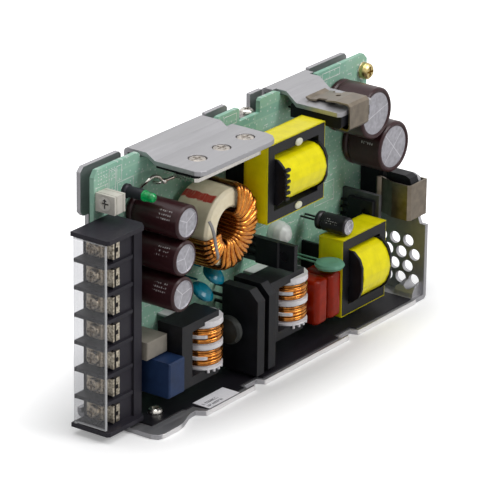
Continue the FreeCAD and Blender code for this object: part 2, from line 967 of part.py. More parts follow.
# Spacers and screws that hold the board off the back plate.
spots = (
    ("board_screw_left", "board_screw_low"),
    ("board_screw_right", "board_screw_low"),
    ("board_screw_right", "board_screw_top"),
    ("mid_ear_left+5", "22"),
)
posts = []
washers = []
for index, (x_text, z_text) in enumerate(spots):
    posts.append(
        rod(
            "Post%d" % index,
            "standoff_rad",
            "frame_deep/2-sheet_thick-board_front-board_thick",
            (x_text, "frame_deep/2-sheet_thick", z_text),
            ALONG_MINUS_Y,
        )
    )
    if index in (0, 3):
        continue
    washers.append(
        rod(
            "Washer%d" % index,
            "washer_rad",
            "washer_thick",
            (x_text, "board_front", z_text),
            ALONG_MINUS_Y,
        )
    )
keep(group("PostGroup", posts), "board_standoffs")
keep(group("WasherGroup", washers), "board_washers")


def screw(label, rad, high, at, turn, dome=0.45, recess=0.62, count=None, pitch=None):
    """Pan head with a cross recess, its seat at the origin and its head along Z."""
    body = new_body(label)
    sketch = outline(
        new_sketch(body, "XZ_Plane"),
        [
            ("0", "-0.02"),
            (rad, "-0.02"),
            (rad, "(%s)*0.45" % high),
            ("(%s)*0.93" % rad, "(%s)*0.78" % high),
            ("(%s)*%s" % (rad, dome + 0.25), high),
            ("0", high),
        ],
    )
    head = spin(body, sketch)
    long = "(%s)*%s" % (rad, recess)
    thin = "(%s)*0.14" % rad
    cross = outline(
        new_sketch(body, "XY_Plane", high),
        [
            (long, "-" + thin),
            (long, thin),
            (thin, thin),
            (thin, long),
            ("-" + thin, long),
            ("-" + thin, thin),
            ("-" + long, thin),
            ("-" + long, "-" + thin),
            ("-" + thin, "-" + thin),
            ("-" + thin, "-" + long),
            (thin, "-" + long),
            (thin, "-" + thin),
        ],
    )
    slot = pocket(body, cross, "(%s)*0.4" % high)
    if count is not None:
        row_of(body, [head, slot], "X_Axis", pitch, count)
    place(body, at, turn)
    return body


heads = []
for index, (x_text, z_text) in enumerate(spots[1:3]):
    body = screw(
        "board_screw_%d" % (index + 1),
        "board_screw_rad",
        "board_screw_high",
        (x_text, "board_front-washer_thick-0.04", z_text),
        ALONG_MINUS_Y,
    )
    heads.append(PARTS.pop(body.Label))
keep(group("ScrewGroup", heads), "board_screws")
screw(
    "flange_screw",
    "flange_screw_rad",
    "flange_screw_high",
    ("flange_screw_x", "flange_screw_y", "sheet_thick+0.02"),
    UPRIGHT,
)
screw(
    "cover_screw",
    "cover_screw_rad",
    "cover_screw_high",
    ("cover_screw_x", "cover_screw_y", "notch_low+0.02"),
    UPRIGHT,
)
screw(
    "tab_screws",
    "sink_rad-0.25",
    "0.75",
    ("tab_screw_x-tab_screw_pitch", "tab_screw_y", "tab_a_level-0.78"),
    UPRIGHT,
    count="3",
    pitch="tab_screw_pitch*2",
)

# Terminal block: core, end caps, dividing ribs and the rear strip.
terminal = new_body("terminal_block")
top = "block_low+pole_pitch*pole_count+block_cap"
core_sketch = outline(
    new_sketch(terminal, "XY_Plane", "block_low"),
    [
        ("core_left", "block_back"),
        ("core_left", "core_front"),
        ("rear_left", "core_front"),
        ("rear_left", "rib_front"),
        ("block_right", "rib_front"),
        ("block_right", "block_back"),
    ],
)
pad(terminal, core_sketch, "pole_pitch*pole_count+block_cap")
for lift in ("block_low", "block_low+pole_pitch*pole_count"):
    cap_sketch = outline(
        new_sketch(terminal, "XY_Plane", lift),
        [
            ("block_left", "block_back"),
            ("block_left", "block_front+0.8"),
            ("block_left+0.8", "block_front"),
            ("block_right-2", "block_front"),
            ("block_right", "rib_front"),
            ("block_right", "block_back"),
        ],
    )
    pad(terminal, cap_sketch, "block_cap")
rib_sketch = outline(
    new_sketch(terminal, "XY_Plane", "block_low+block_cap/2-rib_thick/2+pole_pitch"),
    [
        ("rib_left", "block_back"),
        ("rib_left", "rib_front+0.8"),
        ("rib_left+0.8", "rib_front"),
        ("rib_right", "rib_front"),
        ("rib_right", "block_back"),
    ],
)
rib = pad(terminal, rib_sketch, "rib_thick")
row_of(terminal, [rib], "Z_Axis", "pole_pitch*(pole_count-2)", "pole_count-1")
pin_sketch = new_sketch(terminal, "XY_Plane", "block_low+block_cap/2")
ring(
    pin_sketch,
    ("cover_left+cover_thick/2", "cover_back-0.6"),
    "pin_rad+pin_clear",
)
pocket(terminal, pin_sketch, "pole_pitch", reverse=True)
pin_top = new_sketch(
    terminal, "XY_Plane", "block_low+block_cap/2+pole_pitch*pole_count"
)
ring(
    pin_top,
    ("cover_left+cover_thick/2", "cover_back-0.6"),
    "pin_rad+pin_clear",
)
pocket(terminal, pin_top, "block_cap")

# Clear cover, hung on two pins.
cover = new_body("terminal_cover")
cover_sketch = outline(
    new_sketch(cover, "XY_Plane", "block_low+block_cap+cover_gap"),
    [
        ("cover_left", "cover_front"),
        ("cover_left+cover_thick", "cover_front"),
        ("cover_left+cover_thick", "cover_back"),
        ("cover_left", "cover_back"),
    ],
)
pad(cover, cover_sketch, "pole_pitch*pole_count-block_cap-2*cover_gap")
hinge_low = new_sketch(cover, "XY_Plane", "block_low+block_cap+cover_gap-0.85")
ring(hinge_low, ("cover_left+cover_thick/2", "cover_back-0.6"), "pin_rad")
pad(
    cover,
    hinge_low,
    "pole_pitch*pole_count-block_cap-2*cover_gap+1.7",
)

# Contacts: angled plates, square washers and screws, one set for each pole.
first_pole = "block_low+block_cap/2+pole_pitch/2"
contact = new_body("terminal_plates")
contact_sketch = outline(
    new_sketch(contact, "XY_Plane", first_pole + "-contact_wide/2"),
    [
        ("core_left-contact_thick", "contact_y+contact_wide/2+1"),
        ("core_left-contact_thick", "core_front-0.65"),
        ("core_left+2.4", "core_front-0.65"),
        ("core_left+2.4", "core_front-0.02"),
        ("core_left-0.02", "core_front-0.02"),
        ("core_left-0.02", "contact_y+contact_wide/2+1"),
    ],
)
contact_pad = pad(contact, contact_sketch, "contact_wide")
row_of(contact, [contact_pad], "Z_Axis", "pole_pitch*(pole_count-1)", "pole_count")

square = new_body("terminal_washers")
square_sketch = outline(
    new_sketch(square, "XY_Plane", first_pole + "-contact_wide/2"),
    [
        ("core_left-contact_thick-0.02", "contact_y+contact_wide/2"),
        ("core_left-contact_thick-0.02", "contact_y-contact_wide/2"),
        ("core_left-contact_thick-0.45", "contact_y-contact_wide/2"),
        ("core_left-contact_thick-0.9", "contact_y-contact_wide/2+0.4"),
        ("core_left-contact_thick-0.9", "contact_y+contact_wide/2-0.4"),
        ("core_left-contact_thick-0.45", "contact_y+contact_wide/2"),
    ],
)
square_pad = pad(square, square_sketch, "contact_wide")
row_of(square, [square_pad], "Z_Axis", "pole_pitch*(pole_count-1)", "pole_count")

screw(
    "terminal_screws",
    "contact_screw_rad",
    "contact_screw_high",
    ("core_left-contact_thick-0.94", "contact_y", first_pole),
    ALONG_MINUS_X,
    recess=0.7,
    count="pole_count",
    pitch="pole_pitch*(pole_count-1)",
)

# Trimmer: box with a turning dial on its end.
trimmer = prism(
    "trimmer_body",
    "YZ_Plane",
    [
        ("board_front-seat_gap", "trim_low"),
        ("board_front-seat_gap", "trim_low+trim_high"),
        ("board_front-trim_deep", "trim_low+trim_high"),
        ("board_front-trim_deep", "trim_low"),
    ],
    "trim_long",
    lift="trim_left",
    at=("0", "0", "0"),
)
for lift in ("trim_left+1.2", "trim_left+trim_long-1"):
    groove = new_sketch(trimmer, "YZ_Plane", lift)
    for inset in ("(0-1)", "0.35"):
        outline(
            groove,
            [
                ("board_front-trim_deep+" + inset, "trim_low+" + inset),
                ("board_front+2", "trim_low+" + inset),
                ("board_front+2", "trim_low+trim_high-" + inset),
                ("board_front-trim_deep+" + inset, "trim_low+trim_high-" + inset),
            ],
        )
    pocket(trimmer, groove, "0.25")
dial_seat = new_sketch(trimmer, "YZ_Plane", "trim_left")
ring(dial_seat, ("dial_y", "trim_low+trim_high/2"), "dial_rad+dial_clear")
pocket(trimmer, dial_seat, "dial_high", reverse=True)

dial = new_body("trimmer_rotor")
dial_sketch = new_sketch(dial, "XY_Plane")
ring(dial_sketch, ("0", "0"), "dial_rad")
pad(dial, dial_sketch, "dial_high")
arrow = outline(
    new_sketch(dial, "XY_Plane", "dial_high"),
    [
        ("0.35", "-1.5"),
        ("0.35", "0.4"),
        ("1", "0.4"),
        ("0", "1.7"),
        ("-1", "0.4"),
        ("-0.35", "0.4"),
        ("-0.35", "-1.5"),
    ],
)
pocket(dial, arrow, "0.3")
place(
    dial,
    ("trim_left+dial_high-dial_clear", "dial_y", "trim_low+trim_high/2"),
    ALONG_MINUS_X,
)

# Indicator lamp on its spacer.
turned(
    "lamp_holder",
    [
        ("0", "0"),
        ("lamp_tube_rad+0.5", "0"),
        ("lamp_tube_rad+0.5", "1"),
        ("lamp_tube_rad", "1.4"),
        ("lamp_tube_rad", "lamp_sleeve"),
        ("0", "lamp_sleeve"),
    ],
    ("lamp_x", "board_front-seat_gap", "lamp_z"),
    ALONG_MINUS_Y,
)
turned(
    "lamp",
    [
        ("0", "0"),
        ("lamp_rad+0.25", "0"),
        ("lamp_rad+0.25", "0.7"),
        ("lamp_rad", "0.7"),
        ("lamp_rad", "lamp_reach-lamp_sleeve-1.3"),
        ("lamp_rad*0.86", "lamp_reach-lamp_sleeve-0.6"),
        ("lamp_rad*0.5", "lamp_reach-lamp_sleeve-0.15"),
        ("0", "lamp_reach-lamp_sleeve"),
    ],
    ("lamp_x", "board_front-0.1-lamp_sleeve", "lamp_z"),
    ALONG_MINUS_Y,
)


def can(label, rad, long, at):
    """Aluminium can in a sleeve: crimp groove at the base, vented end."""
    return turned(
        label,
        [
            ("0", "0"),
            ("(%s)-0.9" % rad, "0"),
            (rad, "0.7"),
            (rad, "1.7"),
            ("(%s)-0.55" % rad, "2.2"),
            ("(%s)-0.55" % rad, "2.7"),
            (rad, "3.2"),
            (rad, "(%s)-0.5" % long),
            ("(%s)-0.5" % rad, long),
            ("(%s)-1.2" % rad, long),
            ("(%s)-1.4" % rad, "(%s)-0.35" % long),
            ("0", "(%s)-0.35" % long),
        ],
        at,
        ALONG_MINUS_Y,
    )


for index in range(3):
    can(
        "output_capacitor_%d" % (index + 1),
        "out_cap_rad",
        "out_cap_long",
        (
            "out_cap_x-out_cap_lean*%d" % index,
            "board_front-seat_gap",
            "out_cap_z-out_cap_pitch*%d" % index,
        ),
    )
can("bulk_capacitor_1", "bulk_rad", "bulk_long", ("bulk_a_x", "board_front-seat_gap", "bulk_a_z"))
can("bulk_capacitor_2", "bulk_rad", "bulk_long", ("bulk_b_x", "board_front-seat_gap", "bulk_b_z"))
small_can = can(
    "small_capacitor",
    "small_cap_rad",
    "small_cap_long",
    ("small_cap_x", "small_cap_y", "small_cap_z"),
)
lead(
    small_can,
    "XY_Plane",
    (("-1.25", "0"), ("1.25", "0")),
    "lead_rad",
    "small_cap_y-board_front+seat_gap",
    "0.1",
)

# Toroid choke: coated core, main winding and a short second winding.
wall = "coil_wall"
turned(
    "toroid_core",
    [
        ("ring_hole+coil_wall+0.9", "coil_wall"),
        ("ring_rad-coil_wall-0.9", "coil_wall"),
        ("ring_rad-coil_wall", "coil_wall+0.9"),
        ("ring_rad-coil_wall", "ring_wide-coil_wall-0.9"),
        ("ring_rad-coil_wall-0.9", "ring_wide-coil_wall"),
        ("ring_hole+coil_wall+0.9", "ring_wide-coil_wall"),
        ("ring_hole+coil_wall", "ring_wide-coil_wall-0.9"),
        ("ring_hole+coil_wall", "coil_wall+0.9"),
    ],
    ("ring_x", "ring_back", "ring_z"),
    ALONG_MINUS_Y,
)


def coil_part(label, start, angle, spare):
    """Winding over part of the ring, hollow where the core passes."""
    body = new_body(label)
    sketch = new_sketch(body, "XZ_Plane")
    outline(
        sketch,
        [
            ("ring_hole+1.4+%s" % spare, spare),
            ("ring_rad-2-%s" % spare, spare),
            ("ring_rad-0.6-%s" % spare, "0.6+%s" % spare),
            ("ring_rad-%s" % spare, "2+%s" % spare),
            ("ring_rad-%s" % spare, "ring_wide-2-%s" % spare),
            ("ring_rad-0.6-%s" % spare, "ring_wide-0.6-%s" % spare),
            ("ring_rad-2-%s" % spare, "ring_wide-%s" % spare),
            ("ring_hole+1.4+%s" % spare, "ring_wide-%s" % spare),
            ("ring_hole+%s" % spare, "ring_wide-1.4-%s" % spare),
            ("ring_hole+%s" % spare, "1.4+%s" % spare),
        ],
    )
    outline(
        sketch,
        [
            ("ring_hole+coil_wall-0.05", "coil_wall-0.05"),
            ("ring_rad-coil_wall+0.05", "coil_wall-0.05"),
            ("ring_rad-coil_wall+0.05", "ring_wide-coil_wall+0.05"),
            ("ring_hole+coil_wall-0.05", "ring_wide-coil_wall+0.05"),
        ],
    )
    spin(body, sketch, angle)
    place(
        body,
        ("ring_x", "ring_back", "ring_z"),
        ALONG_MINUS_Y.multiply(FreeCAD.Rotation(FreeCAD.Vector(0, 0, 1), start)),
    )
    return body


coil_part("toroid_winding", -121, "196", "0")
coil_part("toroid_second_winding", 183, "46", "0.35")


def transformer(tag, left, long, low, high, depth_front, deep, coil_bulge, slack):
    """Core with two windows, coil former, taped winding and the tape round the core."""
    core = new_body(tag + "_core")
    sketch = new_sketch(core, "XZ_Plane", "-(%s)-(%s)" % (depth_front, deep))
    right = "%s+%s" % (left, long)
    roof = "%s+%s" % (low, high)
    middle = "%s+%s/2" % (low, high)
    outline(sketch, [(left, low), (right, low), (right, roof), (left, roof)])
    for side in (-1, 1):
        near = "%s+%d*leg_high/2" % (middle, side)
        far = "%s+%d*(%s/2-core_bar)" % (middle, side, high)
        a, b = (near, far) if side > 0 else (far, near)
        outline(
            sketch,
            [
                (left + "+core_bar", a),
                (right + "-core_bar", a),
                (right + "-core_bar", b),
                (left + "+core_bar", b),
            ],
        )
    pad(core, sketch, deep)
    place(core, ("0", "0", "0"))

    centre = "(%s)+(%s)/2" % (depth_front, deep)
    reach = "(%s)/2-core_bar-coil_clear" % high
    span = "%s-2*core_bar-2*coil_clear" % long
    start = left + "+core_bar+coil_clear"
    former = new_body(tag + "_former")
    bulge = "((%s)/2+%s)" % (deep, coil_bulge)
    tall = "((%s)-%s)" % (reach, slack)
    outer = [
        (centre + "-%s*0.97" % bulge, "-%s*0.45" % tall),
        (centre + "-%s*0.86" % bulge, "-%s*0.78" % tall),
        (centre + "-%s*0.62" % bulge, "-%s-0.3" % tall),
        (centre + "+(%s)/2+2.6" % deep, "-%s-0.3" % tall),
        (centre + "+(%s)/2+2.6" % deep, "%s+0.3" % tall),
        (centre + "-%s*0.62" % bulge, "%s+0.3" % tall),
        (centre + "-%s*0.86" % bulge, "%s*0.78" % tall),
        (centre + "-%s*0.97" % bulge, "%s*0.45" % tall),
    ]
    inner = [
        (centre + "-(%s)/2-0.1" % deep, "-leg_high/2-0.1"),
        (centre + "+(%s)/2+0.1" % deep, "-leg_high/2-0.1"),
        (centre + "+(%s)/2+0.1" % deep, "leg_high/2+0.1"),
        (centre + "-(%s)/2-0.1" % deep, "leg_high/2+0.1"),
    ]
    for lift in (start, "%s+%s-flange_wall" % (start, span)):
        flange = new_sketch(former, "YZ_Plane", lift)
        outline(flange, outer)
        outline(flange, inner)
        pad(former, flange, "flange_wall")
    tube = new_sketch(former, "YZ_Plane", start)
    outline(
        tube,
        [
            (centre + "-(%s)/2-0.7" % deep, "-leg_high/2-0.7"),
            (centre + "+(%s)/2+0.7" % deep, "-leg_high/2-0.7"),
            (centre + "+(%s)/2+0.7" % deep, "leg_high/2+0.7"),
            (centre + "-(%s)/2-0.7" % deep, "leg_high/2+0.7"),
        ],
    )
    outline(tube, inner)
    pad(former, tube, span)
    back = centre + "+(%s)/2+2.5" % deep
    feet = new_sketch(former, "XZ_Plane", "-(%s)" % back)
    for x_text in (start, "%s+%s-flange_wall" % (start, span)):
        outline(
            feet,
            [
                (x_text, "-%s+0.4" % tall),
                (x_text + "+flange_wall", "-%s+0.4" % tall),
                (x_text + "+flange_wall", "%s-0.4" % tall),
                (x_text, "%s-0.4" % tall),
            ],
        )
    pad(former, feet, "board_front-seat_gap-(%s)" % back, reverse=True)
    place(former, ("0", "0", middle))

    coil = new_body(tag + "_winding")
    sketch = new_sketch(coil, "YZ_Plane", start + "+flange_wall+0.03")
    round_front = (
        (0.45, 1),
        (0.66, 0.9),
        (0.83, 0.68),
        (0.94, 0.38),
        (1, 0),
        (0.94, -0.38),
        (0.83, -0.68),
        (0.66, -0.9),
        (0.45, -1),
    )
    profile = [(centre + "-%s*%s" % (bulge, a), "%s*(%s)" % (tall, b)) for a, b in round_front]
    profile.append((centre + "+(%s)/2" % deep, "-%s" % tall))
    profile.append((centre + "+(%s)/2+2" % deep, "-%s*0.8" % tall))
    profile.append((centre + "+(%s)/2+2" % deep, "%s*0.8" % tall))
    profile.append((centre + "+(%s)/2" % deep, tall))
    outline(sketch, profile)
    outline(
        sketch,
        [
            (centre + "-(%s)/2-0.73" % deep, "-leg_high/2-0.73"),
            (centre + "+(%s)/2+0.73" % deep, "-leg_high/2-0.73"),
            (centre + "+(%s)/2+0.73" % deep, "leg_high/2+0.73"),
            (centre + "-(%s)/2-0.73" % deep, "leg_high/2+0.73"),
        ],
    )
    pad(coil, sketch, "%s-2*flange_wall-0.06" % span)
    place(coil, ("0", "0", middle))

    tape = new_body(tag + "_tape")
    sketch = new_sketch(tape, "XZ_Plane", "-(%s)-(%s)+0.1" % (depth_front, deep))
    for grow in ("tape_clear+tape_thick", "tape_clear"):
        outline(
            sketch,
            [
                ("%s-%s" % (left, grow.replace("+", "-")), "%s-%s" % (low, grow.replace("+", "-"))),
                ("%s+%s" % (right, grow), "%s-%s" % (low, grow.replace("+", "-"))),
                ("%s+%s" % (right, grow), "%s+%s" % (roof, grow)),
                ("%s-%s" % (left, grow.replace("+", "-")), "%s+%s" % (roof, grow)),
            ],
        )
    pad(tape, sketch, "(%s)-0.2" % deep)
    place(tape, ("0", "0", "0"))

transformer(
    "main_transformer",
    "xfa_left",
    "xfa_long",
    "xfa_low",
    "xfa_high",
    "xfa_front",
    "xfa_deep",
    "xfa_bulge",
    "xfa_slack",
)
transformer(
    "small_transformer",
    "xfb_left",
    "xfb_long",
    "xfb_low",
    "xfb_high",
    "xfb_front",
    "xfb_deep",
    "xfb_bulge",
    "xfb_slack",
)


def line_choke(tag, left):
    """Closed rectangular core with a finned spool on its right-hand post."""
    core = new_body(tag + "_core")
    sketch = new_sketch(core, "XZ_Plane", "-choke_front-choke_deep")
    outline(
        sketch,
        [
            (left, "choke_low"),
            (left + "+choke_long", "choke_low"),
            (left + "+choke_long", "choke_low+choke_high"),
            (left, "choke_low+choke_high"),
        ],
    )
    outline(
        sketch,
        [
            (left + "+choke_post", "choke_low+choke_bar"),
            (left + "+choke_long-choke_post", "choke_low+choke_bar"),
            (left + "+choke_long-choke_post", "choke_low+choke_high-choke_bar"),
            (left + "+choke_post", "choke_low+choke_high-choke_bar"),
        ],
    )
    pad(core, sketch, "choke_deep")
    place(core, ("0", "0", "0"))

    clear = "choke_high-2*choke_bar-0.2"
    spool = new_body(tag + "_spool")
    step = "(%s-2*spool_wall)/2" % clear
    levels = ("0", "(%s)" % step, "(%s)-spool_wall" % clear)
    walls = ("spool_wall", "2*spool_wall", "spool_wall")
    profile = [("0", "0")]
    for low, wall in zip(levels, walls):
        profile.append(("spool_rad", low))
        profile.append(("spool_rad", "%s+%s" % (low, wall)))
        if low != levels[2]:
            profile.append(("spool_core+0.35", "%s+%s" % (low, wall)))
            profile.append(("spool_core+0.35", levels[levels.index(low) + 1]))
    profile.append(("0", clear))
    spin(spool, outline(new_sketch(spool, "XZ_Plane"), profile))
    bore = outline(
        new_sketch(spool, "XY_Plane", clear),
        [
            ("-choke_post/2-0.1", "-choke_deep/2-0.1"),
            ("choke_post/2+0.1", "-choke_deep/2-0.1"),
            ("choke_post/2+0.1", "choke_deep/2+0.1"),
            ("-choke_post/2-0.1", "choke_deep/2+0.1"),
        ],
    )
    pocket(spool, bore, "choke_high")
    base = outline(
        new_sketch(spool, "XY_Plane"),
        [
            ("-choke_post", "choke_deep/2+0.4"),
            ("choke_post", "choke_deep/2+0.4"),
            ("choke_post", "board_front-seat_gap-choke_front-choke_deep/2"),
            ("-choke_post", "board_front-seat_gap-choke_front-choke_deep/2"),
        ],
    )
    pad(spool, base, "spool_wall")
    cap = outline(
        new_sketch(spool, "XY_Plane", clear + "-spool_wall"),
        [
            ("-choke_post", "choke_deep/2+0.4"),
            ("choke_post", "choke_deep/2+0.4"),
            ("choke_post", "board_front-seat_gap-choke_front-choke_deep/2"),
            ("-choke_post", "board_front-seat_gap-choke_front-choke_deep/2"),
        ],
    )
    pad(spool, cap, "spool_wall")
    arc = ((-0.7, -0.714), (-0.5, -0.866), (-0.25, -0.968), (0, -1), (0.38, -0.925), (0.7, -0.714))
    arc = arc + ((0.92, -0.38), (1, 0), (0.92, 0.38), (0.7, 0.714))
    hood = [("spool_rad*(%s)" % a, "spool_rad*(%s)" % b) for a, b in arc]
    hood.append(("choke_post/2+0.1", "spool_rad*0.714"))
    hood.append(("choke_post/2+0.1", "-choke_deep/2-0.05"))
    hood.append(("-spool_rad*0.72", "-choke_deep/2-0.05"))
    pad(spool, outline(new_sketch(spool, "XY_Plane", clear + "-0.1"), hood), "hood_high")
    comb = outline(
        new_sketch(spool, "XY_Plane"),
        [
            ("-spool_rad-comb_thick", "-1"),
            ("-spool_rad+0.2", "-1"),
            ("-spool_rad+0.2", "1.4"),
            ("-spool_rad-comb_thick", "1.4"),
        ],
    )
    pad(spool, comb, clear)
    for share in ("0.26", "0.74"):
        finger = outline(
            new_sketch(spool, "XY_Plane", "(%s)*%s-spool_wall/2" % (clear, share)),
            [
                ("-spool_rad-comb_thick", "-0.9"),
                ("-spool_rad*0.9-comb_thick", "-spool_rad*0.45"),
                ("-spool_rad*0.68-comb_thick", "-spool_rad*0.75"),
                ("-spool_rad*0.62", "-spool_rad*0.82"),
                ("-spool_rad*0.66", "-spool_rad*0.72"),
                ("-spool_rad*0.87", "-spool_rad*0.4"),
                ("-spool_rad+0.2", "-0.9"),
            ],
        )
        pad(spool, finger, "spool_wall+0.3")
    nubs = new_sketch(spool, "XY_Plane")
    for a, b in ((-0.5, 0.78), (-0.17, 0.87), (0.17, 0.87), (0.5, 0.78)):
        ring(nubs, ("spool_rad*(%s)" % a, "-spool_rad*%s" % b), "0.45")
    pad(spool, nubs, "1.1", reverse=True)
    at = (
        left + "+choke_long-choke_post/2",
        "choke_front+choke_deep/2",
        "choke_low+choke_bar+0.1",
    )
    place(spool, at)

    coil = new_body(tag + "_winding")
    sketch = outline(
        new_sketch(coil, "XZ_Plane"),
        [
            ("spool_core+0.4", "spool_wall+0.06"),
            ("spool_rad-0.6", "spool_wall+0.06"),
            ("spool_rad-0.55", "(%s)/2+spool_wall/2" % step),
            ("spool_rad-0.6", "(%s)-0.06" % step),
            ("spool_core+0.4", "(%s)-0.06" % step),
        ],
    )
    turn_feature = spin(coil, sketch)
    row_of(coil, [turn_feature], "Z_Axis", "%s+spool_wall" % step, "2")
    place(coil, at)


line_choke("choke_1", "choke_a_left")
line_choke("choke_2", "choke_b_left")

# Upright plates between the chokes, each with one corner taken off.
for label, left, near in (
    ("bridge_rectifier", "bridge_left", "bridge_front"),
    ("plate_device", "shield_left", "shield_front"),
):
    plate = prism(
        label,
        "YZ_Plane",
        [
            (near, "bridge_low"),
            (near + "+bridge_deep", "bridge_low"),
            (near + "+bridge_deep", "bridge_low+bridge_high"),
            (near + "+plate_chamfer", "bridge_low+bridge_high"),
            (near, "bridge_low+bridge_high-plate_chamfer"),
        ],
        "bridge_thick",
        lift=left,
        at=("0", "0", "0"),
    )
    legs(
        plate,
        left + "+bridge_thick/2",
        ["bridge_low+bridge_high*%s" % share for share in (0.16, 0.42, 0.62, 0.82)],
        "leg_wide",
        "leg_wide",
        near + "+bridge_deep-0.1",
    )

thermistor = turned(
    "thermistor",
    [
        ("0", "0"),
        ("therm_rad-0.7", "0"),
        ("therm_rad", "0.6"),
        ("therm_rad", "therm_thick-0.6"),
        ("therm_rad-0.7", "therm_thick"),
        ("0", "therm_thick"),
    ],
    ("therm_x+therm_thick", "therm_y", "therm_z"),
    ALONG_MINUS_X,
)
lead(
    thermistor,
    "XZ_Plane",
    (("-2.5", "therm_thick/2"), ("2.5", "therm_thick/2")),
    "lead_rad",
    "therm_y-board_front+seat_gap",
    "0.6-therm_rad",
)


def soft_box(label, left, long, near, low, high, rad):
    """Moulded box that stands on the board."""
    body = prism(
        label,
        "XZ_Plane",
        [
            (left, low),
            (left + "+" + long, low),
            (left + "+" + long, low + "+" + high),
            (left, low + "+" + high),
        ],
        "board_front-seat_gap-(%s)" % near,
        lift="-board_front+0.05",
        at=("0", "0", "0"),
    )
    face = number(near)
    round_edges(body, rad, lambda p, e: abs(p.y - face) < 1e-3, "Chamfer")
    return body


soft_box("blue_capacitor", "blue_left", "blue_long", "blue_front", "blue_low", "blue_high", "0.45")
soft_box(
    "beige_capacitor", "beige_left", "beige_long", "beige_front", "beige_low", "beige_high", "0.3"
)


def dipped(label, left):
    """Dipped film capacitor: a flat box with well rounded edges."""
    body = prism(
        label,
        "XY_Plane",
        [
            (left, "film_cap_front"),
            (left + "+film_cap_long", "film_cap_front"),
            (left + "+film_cap_long", "film_cap_front+film_cap_deep"),
            (left, "film_cap_front+film_cap_deep"),
        ],
        "film_cap_high",
        lift="film_cap_low",
        at=("0", "0", "0"),
    )
    round_edges(body, "2.1", lambda p, e: along(e, "z"))
    round_edges(
        body,
        "1.3",
        lambda p, e: abs(p.z - number("film_cap_low")) < 1e-3
        or abs(p.z - number("film_cap_low+film_cap_high")) < 1e-3,
    )
    lead(
        body,
        "XZ_Plane",
        (
            (left + "+film_cap_long/2", "film_cap_low+3"),
            (left + "+film_cap_long/2", "film_cap_low+film_cap_high-3"),
        ),
        "lead_rad",
        "-board_front+seat_gap",
        "-film_cap_front-film_cap_deep+0.1",
    )
    return body


pair = [
    dipped("film_capacitor_1", "film_cap_x-film_cap_long/2"),
    dipped("film_capacitor_2", "film_cap_x+film_cap_pitch-film_cap_long/2"),
]
for one in pair:
    PARTS.pop(one.Label)
keep(group("DippedPair", pair), "film_capacitors")

disc = turned(
    "disc_capacitor",
    [
        ("0", "0"),
        ("disc_rad*0.6", "0.15"),
        ("disc_rad*0.9", "disc_thick*0.22"),
        ("disc_rad", "disc_thick*0.5"),
        ("disc_rad*0.9", "disc_thick*0.78"),
        ("disc_rad*0.6", "disc_thick-0.15"),
        ("0", "disc_thick"),
    ],
    ("disc_x", "disc_y", "disc_z-disc_thick/2"),
)
lead(
    disc,
    "XZ_Plane",
    (("-1.27", "disc_thick/2"), ("1.27", "disc_thick/2")),
    "lead_rad",
    "disc_y-board_front+seat_gap",
    "0.8-disc_rad",
)
LEAN = FreeCAD.Rotation(FreeCAD.Vector(1, 0.3, 0), 38)
drops = []
for index, spot in enumerate((("-31.4", "-0.4", "32.2"), ("-22.9", "1.6", "34.8"))):
    drop = turned(
        "y_capacitor_%d" % (index + 1),
        [
            ("0", "-drop_rad*0.42"),
            ("drop_rad*0.6", "-drop_rad*0.36"),
            ("drop_rad*0.9", "-drop_rad*0.18"),
            ("drop_rad", "0"),
            ("drop_rad*0.9", "drop_rad*0.18"),
            ("drop_rad*0.6", "drop_rad*0.36"),
            ("0", "drop_rad*0.42"),
        ],
        spot,
        LEAN,
    )
    drops.append(PARTS.pop(drop.Label))
    for side in ("-2", "+2"):
        drops.append(
            rod(
                "DropLead%d" % len(drops),
                "lead_rad",
                "board_front-seat_gap-(%s)-drop_rad*0.9" % spot[1],
                (spot[0] + side, spot[1] + "+drop_rad*0.9", spot[2] + "+drop_rad*0.62"),
                ALONG_PLUS_Y,
            )
        )
keep(fuse("DropGroup", drops), "y_capacitors")

turned(
    "sealant_bead",
    [
        ("0", "0"),
        ("bead_rad", "0"),
        ("bead_rad*0.98", "bead_rad*0.55"),
        ("bead_rad*0.8", "bead_rad*1.05"),
        ("bead_rad*0.45", "bead_rad*1.38"),
        ("0", "bead_rad*1.5"),
    ],
    ("bead_x", "board_front-seat_gap", "bead_z"),
    ALONG_MINUS_Y,
)

# Devices clamped under the first tab, and the plate that presses them up.
under_tab = []
for index in range(3):
    x_text = "tab_screw_x+tab_screw_pitch*%d-tab_device_wide/2" % (index - 1)
    device = prism(
        "tab_device_%d" % (index + 1),
        "YZ_Plane",
        [
            ("press_front+1", "tab_a_level-sheet_thick-0.05"),
            ("press_front+1", "tab_a_level-sheet_thick-0.05-tab_device_thick"),
            ("press_front+1+device_long", "tab_a_level-sheet_thick-0.05-tab_device_thick"),
            ("press_front+1+device_long", "tab_a_level-sheet_thick-0.05"),
        ],
        "tab_device_wide",
        lift=x_text,
        at=("0", "0", "0"),
    )
    lug = new_sketch(device, "XY_Plane", "tab_a_level-sheet_thick-0.05")
    ring(lug, ("tab_screw_x+tab_screw_pitch*%d" % (index - 1), "tab_screw_y"), "device_hole")
    pocket(device, lug, "tab_device_thick+1")
    for side in (-1, 0, 1):
        legs(
            device,
            x_text + "+tab_device_wide/2+leg_pitch*%d" % side,
            ["tab_a_level-sheet_thick-0.05-tab_device_thick/2"],
            "leg_wide",
            "leg_thick",
            "press_front+device_long+0.9",
        )
    under_tab.append(PARTS.pop(device.Label))
keep(group("TabDevices", under_tab), "tab_devices")
